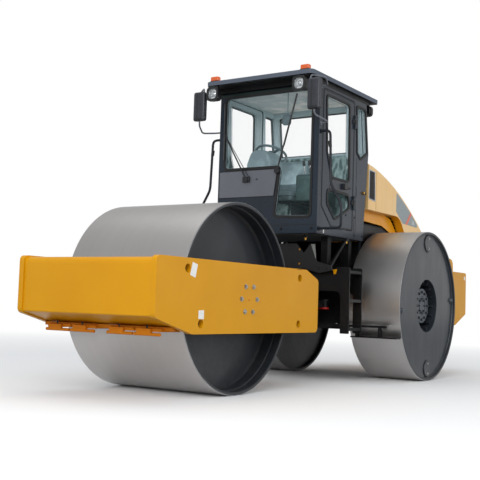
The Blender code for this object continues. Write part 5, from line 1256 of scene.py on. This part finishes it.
def makeConsole():
    foot, head, front, back, kept = column.values()
    form = Form()
    form.box(foot, head, columnGrey, 0.02, segments=3)
    form.slab(softOutline(columnShell, 0.05, 8), "Y", front, back, columnGrey, roundness=0.020, segments=4)
    form.node("console", columnGrey, keep=lambda spot: spot.y > kept)
    # A dark dial hood towards the driver, with three dials and a row of switches.
    form.box((-0.335, 1.838, 2.335), (-0.085, 1.860, 2.455), blackPlastic, 0.006)
    middles, z, edge, face = dials.values()
    for x in middles:
        form.bar((x, 1.858, z), (x, 1.866, z), edge, chromeRod)
        form.bar((x, 1.864, z), (x, 1.868, z), face, whiteMark)
    place, apart, count, size = switches.values()
    form.repeat(slatTree, [place], hubSteel, Step=(apart, 0, 0), Count=count, Size=size)
    form.made("steering_column", "rear_frame", "black_plastic", "console")


padSet = dict(voxel=0.009, pressure=4, frames=20, far=0.6, steps=72, piping=0.0045)


def makePad(low, high, roundness, cap):
    # A pad blown up by cloth under pressure, no point moving further than cap.
    start = block(low, high)
    bmesh.ops.bevel(start, geom=start.edges, offset=roundness, segments=5, profile=0.5, affect="EDGES")
    mesh = bpy.data.meshes.new("pad")
    start.to_mesh(mesh)
    start.free()
    pad = linked("pad", mesh)
    remesh = pad.modifiers.new("voxels", "REMESH")
    remesh.mode = "VOXEL"
    remesh.voxel_size = padSet["voxel"]
    even = finalMesh(pad)
    pad.modifiers.clear()
    pad.data = even
    rest = [vert.co.copy() for vert in even.vertices]
    cloth = pad.modifiers.new("cloth", "CLOTH")
    cloth.settings.use_pressure = True
    cloth.settings.uniform_pressure_force = padSet["pressure"]
    cloth.settings.effector_weights.gravity = 0
    cloth.point_cache.frame_start, cloth.point_cache.frame_end = 1, padSet["frames"]
    for step in range(padSet["frames"]):
        scene.frame_set(step + 1)
    blown = bpy.data.meshes.new_from_object(pad.evaluated_get(bpy.context.evaluated_depsgraph_get()))
    for vert, home in zip(even.vertices, rest):
        move = blown.vertices[vert.index].co - home
        vert.co = home + move * min(1.0, cap / max(move.length, 1e-6))
    pad.modifiers.clear()
    scene.frame_set(1)
    finer = pad.modifiers.new("finer", "SUBSURF")
    finer.levels = finer.render_levels = 1
    final = finalMesh(pad)
    bpy.data.objects.remove(pad, do_unlink=True)
    return final


def addPad(form, low, high, roundness, cap, axis, height):
    # The pad, with piping round its surface at that height along the axis, 1 for y or 2 for z.
    part = bmesh.new()
    part.from_mesh(makePad(low, high, roundness, cap))
    tree = BVHTree.FromBMesh(part)
    middle = (Vector(low) + Vector(high)) / 2
    middle[axis] = height
    route = []
    for step in range(padSet["steps"]):
        angle = 2 * math.pi * step / padSet["steps"]
        ahead = Vector((math.cos(angle), 0, 0))
        ahead[3 - axis] = math.sin(angle)
        hit = tree.ray_cast(middle + ahead * padSet["far"], -ahead)[0]
        if hit:
            route.append(hit)
    form.take(part, seatVinyl)
    form.tube(route, padSet["piping"], seatPiping, 0.01, True, 8)


# Each pad's corners, roundness, cap, and its piping's axis and height.
pads = dict(cushion=((-0.436, 1.904, 1.966), (0.036, 2.372, 2.068), 0.045, 0.012, 2, 2.02),
            back=((-0.424, 2.268, 2.070), (0.024, 2.372, 2.482), 0.050, 0.010, 1, 2.32))
armrests = (-0.452, 0.052)


def makeSeat():
    form = Form(60)
    addPad(form, *pads["cushion"])
    cushion = form.made("seat_cushion", "rear_frame", "seat", "seat")
    form = Form(60)
    addPad(form, *pads["back"])
    back = form.made("seat_backrest", "rear_frame", "seat")
    # Pan, back shell, and the armrests on their stays.
    form = Form()
    form.box((-0.42, 1.92, 1.9405), (0.02, 2.36, 1.968), blackPlastic, 0.006)
    form.box((-0.40, 2.372, 2.02), (0.0, 2.392, 2.42), blackPlastic, 0.012)
    for x in armrests:
        form.bar((x, 2.33, 2.16), (x, 2.33, 2.20), 0.012, blackPlastic, 16)
        form.box((x - 0.022, 2.04, 2.196), (x + 0.022, 2.345, 2.226), blackPlastic, 0.010, segments=3)
        form.box((x - 0.006, 2.30, 2.00), (x + 0.006, 2.36, 2.20), blackPlastic)
    form.made("seat_frame", "rear_frame", "black_plastic")


makeFloor()
makeConsole()
dressed("steering_wheel", wheelGrey, "hand_wheel", "rear_frame", "black_plastic", smooth=50)
makeSeat()
print("inside of the cab made")

# Hood: slots, their frames, arch flanges, and the stripe along its side. Its back falls off as a parabola.
hood = dict(half=0.62, wall=0.02, flange=(0.515, 0.6005), flangeTop=1.96, crown=(2.3, 2.4855), fall=0.172,
            archX=(0.5135, 0.5195), latch=(4.46, 1.48))
slotMesh = dict(apart=0.0116, upright=(0.0018, 0.0026, 0.312), level=(0.0012, 0.134, 0.0022))
slotShadeBoxes = dict(first=4.0, apart=0.06, count=9, across=0.37, along=0.018)
stripe = ((3.418, 2.212), (3.52, 2.170), (3.6, 2.136), (3.7, 2.090), (3.8, 2.040), (3.9, 1.987), (4.0, 1.928),
          (4.08, 1.878), (4.079, 1.842), (3.62, 1.854), (3.413, 1.982))
redBand = ((3.853, 2.012), (3.893, 1.991), (3.758, 1.8505), (3.704, 1.852))
paleBlock = ((3.905, 1.925), (3.985, 1.912), (3.99, 1.862), (3.90, 1.866))
grilleFrame = ((2.637, 2.386), (2.795, 2.378), (2.812, 2.030), (2.637, 2.045))
grilleHole = ((2.650, 2.372), (2.782, 2.366), (2.796, 2.046), (2.650, 2.056))
arch = ((2.66, 1.955), (3.20, 1.945), (3.47, 1.895), (3.66, 1.74), (3.66, 1.60), (3.58, 1.60), (3.44, 1.735),
        (3.22, 1.792), (2.66, 1.806))


def hoodFinish(face):
    # The arch flanges keep the plain yellow; the rest of the hood takes the paler yellow with its painted
    # glare.
    spot = face.calc_center_median()
    onFlange = within(abs(spot.x), hood["flange"]) or abs(face.normal.x) < 0.3 and abs(spot.x) > 0.5
    return archEnamel if onFlange and spot.z < hood["flangeTop"] else hoodEnamelAndGlare


def makeHood():
    half = hood["half"]
    apart, upright, level = slotMesh.values()
    form = Form().node("hood", hoodFinish, 0.003)
    for side in (1, -1):
        form.film(stripe, side, half, greyMark)
        form.film(redBand, side, half, redMark, 0, 0.0011)
        form.film(paleBlock, side, half, paleMark, 0, 0.0011)
        form.film(softOutline(grilleFrame, 0.010), side, half, grilleTrim, -0.002, 0.004,
                  [softOutline(grilleHole, 0.006)], 0.0015)
        # Black sheets behind the grille's mesh, on the wall's inside and across its opening: painted shade
        # for the hood's inside.
        form.film(grilleFrame, side, half - hood["wall"], chassisBlack, -0.004, -0.0005)
        form.film(grilleHole, side, half, chassisBlack, high=0.0008)
        form.repeat(slatTree, [(side * (half + 0.0016), 2.660, 2.208)], meshGrey, Step=(0, apart, 0),
                    Count=12, Size=upright)
        form.repeat(slatTree, [(side * (half + 0.0012), 2.722, 2.062)], meshGrey, Step=(0, 0, apart),
                    Count=27, Size=level)
        near, far = hood["archX"]
        form.slab(softOutline(arch, 0.06), "X", side * near, side * far, archEnamel, roundness=0.0015)
        # The seams behind the grille and at the tail, and a latch low at the tail.
        for y, low, high in ((2.835, 1.935, 2.385), (4.30, 1.745, 1.33)):
            form.tube([(side * half, y, low), (side * half, y, high)], 0.0018, seamBrown, 0.0)
        latch = hood["latch"]
        form.bar((side * (half - 0.001), *latch), (side * (half + 0.007), *latch), 0.030, blackPlastic)
        form.box((side * 0.620, 4.452, 1.458), (side * 0.630, 4.468, 1.502), zincSteel, 0.002)
    # Dark boxes under the slots in the back: painted shade, so that the slots show dark.
    crownY, crownZ = hood["crown"]
    first, apart, count, across, along = slotShadeBoxes.values()
    for step in range(count):
        y = first + apart * step
        z = crownZ - hood["fall"] * (y - crownY) ** 2
        lie = turnedAbout((0, y, z), -math.atan(2 * hood["fall"] * (y - crownY)))
        form.box((-across, y - along, z - 0.034), (across, y + along, z - 0.028), chassisBlack, 0, lie)
    form.made("bonnet", "hood", "hood_yellow", "hood")


makeHood()
print("hood dressed")

# Stage and light.
stageSet = dict(size=60.0, clearNear=4.5, clearFar=13.0, glossNear=3.1, shaded=0.42, lit=0.86)
studioGradient = ((-1.0, 0.60), (0.0, 0.95), (0.12, 0.95), (0.42, 0.42), (0.75, 0.58), (1.0, 0.62))


def grey(level):
    return (level, level, level, 1)


def makeStage():
    floor = Finish("studio floor")
    reach = floor.node("ShaderNodeVectorMath", {"operation": "LENGTH"}, {0: floor.place}, "Value")
    far = reach.above(stageSet["clearNear"], stageSet["clearFar"] - stageSet["clearNear"])
    rays = floor.node("ShaderNodeLightPath", output="Is Camera Ray")
    # Darker to diffuse light than to the eye, and than to gloss close by, so that undersides stay deep.
    near = 1 - reach.above(stageSet["glossNear"], 0.5)
    mirrored = floor.node("ShaderNodeLightPath", output="Is Glossy Ray")
    seen = rays.sums("MAXIMUM", rays, near * mirrored)
    tint = floor.mix(seen, grey(stageSet["shaded"]), grey(stageSet["lit"]))
    base = floor.node("ShaderNodeBsdfDiffuse", None, {"Color": tint})
    white = floor.node("ShaderNodeEmission", None, {"Strength": 1.0})
    blend = floor.node("ShaderNodeMixShader", None, {0: far * rays, 1: base, 2: white})
    floor.feed(floor.tree.nodes["Material Output"].inputs["Surface"], blend)
    sheet = bmesh.new()
    bmesh.ops.create_grid(sheet, x_segments=1, y_segments=1, size=stageSet["size"])
    mesh = bpy.data.meshes.new("floor")
    sheet.to_mesh(mesh)
    sheet.free()
    mesh.materials.append(floor.material)
    made = linked("floor", mesh)
    made.location.z = -0.001


def makeWorld():
    world = bpy.data.worlds.new("studio")
    world.use_nodes = True
    scene.world = world
    world.node_tree.nodes.clear()
    nodes = Nodes(world.node_tree)
    # What gloss reflects, by height: -1 straight down, 1 straight up.
    direction = nodes.node("ShaderNodeTexCoord", output="Generated")
    height = nodes.node("ShaderNodeSeparateXYZ", None, {0: direction}, "Z")
    stops = [((z + 1) / 2, grey(level)) for z, level in studioGradient]
    sky = nodes.node("ShaderNodeValToRGB", {"stops": stops}, {0: height * 0.5 + 0.5})

    def shine(colour, strength=1.0):
        return nodes.node("ShaderNodeBackground", None, {"Color": colour, "Strength": strength})

    backdrop = shine(grey(1))
    chain = shine((0.94, 0.97, 1.0, 1), 0.78)
    for ray, seen in (("Glossy", shine(sky)), ("Transmission", backdrop), ("Camera", backdrop)):
        path = nodes.node("ShaderNodeLightPath", output=f"Is {ray} Ray")
        chain = nodes.node("ShaderNodeMixShader", None, {0: path, 1: chain, 2: seen})
    nodes.node("ShaderNodeOutputWorld", None, {0: chain})


def lamp(name, place, target, size, power):
    data = bpy.data.lights.new(name, "AREA")
    data.shape = "RECTANGLE"
    data.size, data.size_y = size
    data.energy = power
    made = linked(name, data)
    aim = Vector(target) - Vector(place)
    made.matrix_world = Matrix.Translation(place) @ aim.to_track_quat("-Z", "Y").to_matrix().to_4x4()
    return made


makeStage()
makeWorld()
lamp("key", (3.6, -9.0, 4.2), (0, -0.5, 1.0), (5, 4), 360)
lamp("fill", (8.0, 1.0, 3.0), (0, 0.5, 1.2), (5, 4), 120)
lamp("cab", (0, 0.4, 2.2), (0, 0.4, 3.0), (0.8, 0.8), 2.4).visible_camera = False  # on the cab's ceiling
lamp("top", (-1.0, -1.0, 9.0), (0, 0, 0), (7, 7), 110)
scene.view_settings.view_transform = "Standard"
print("stage and light set")
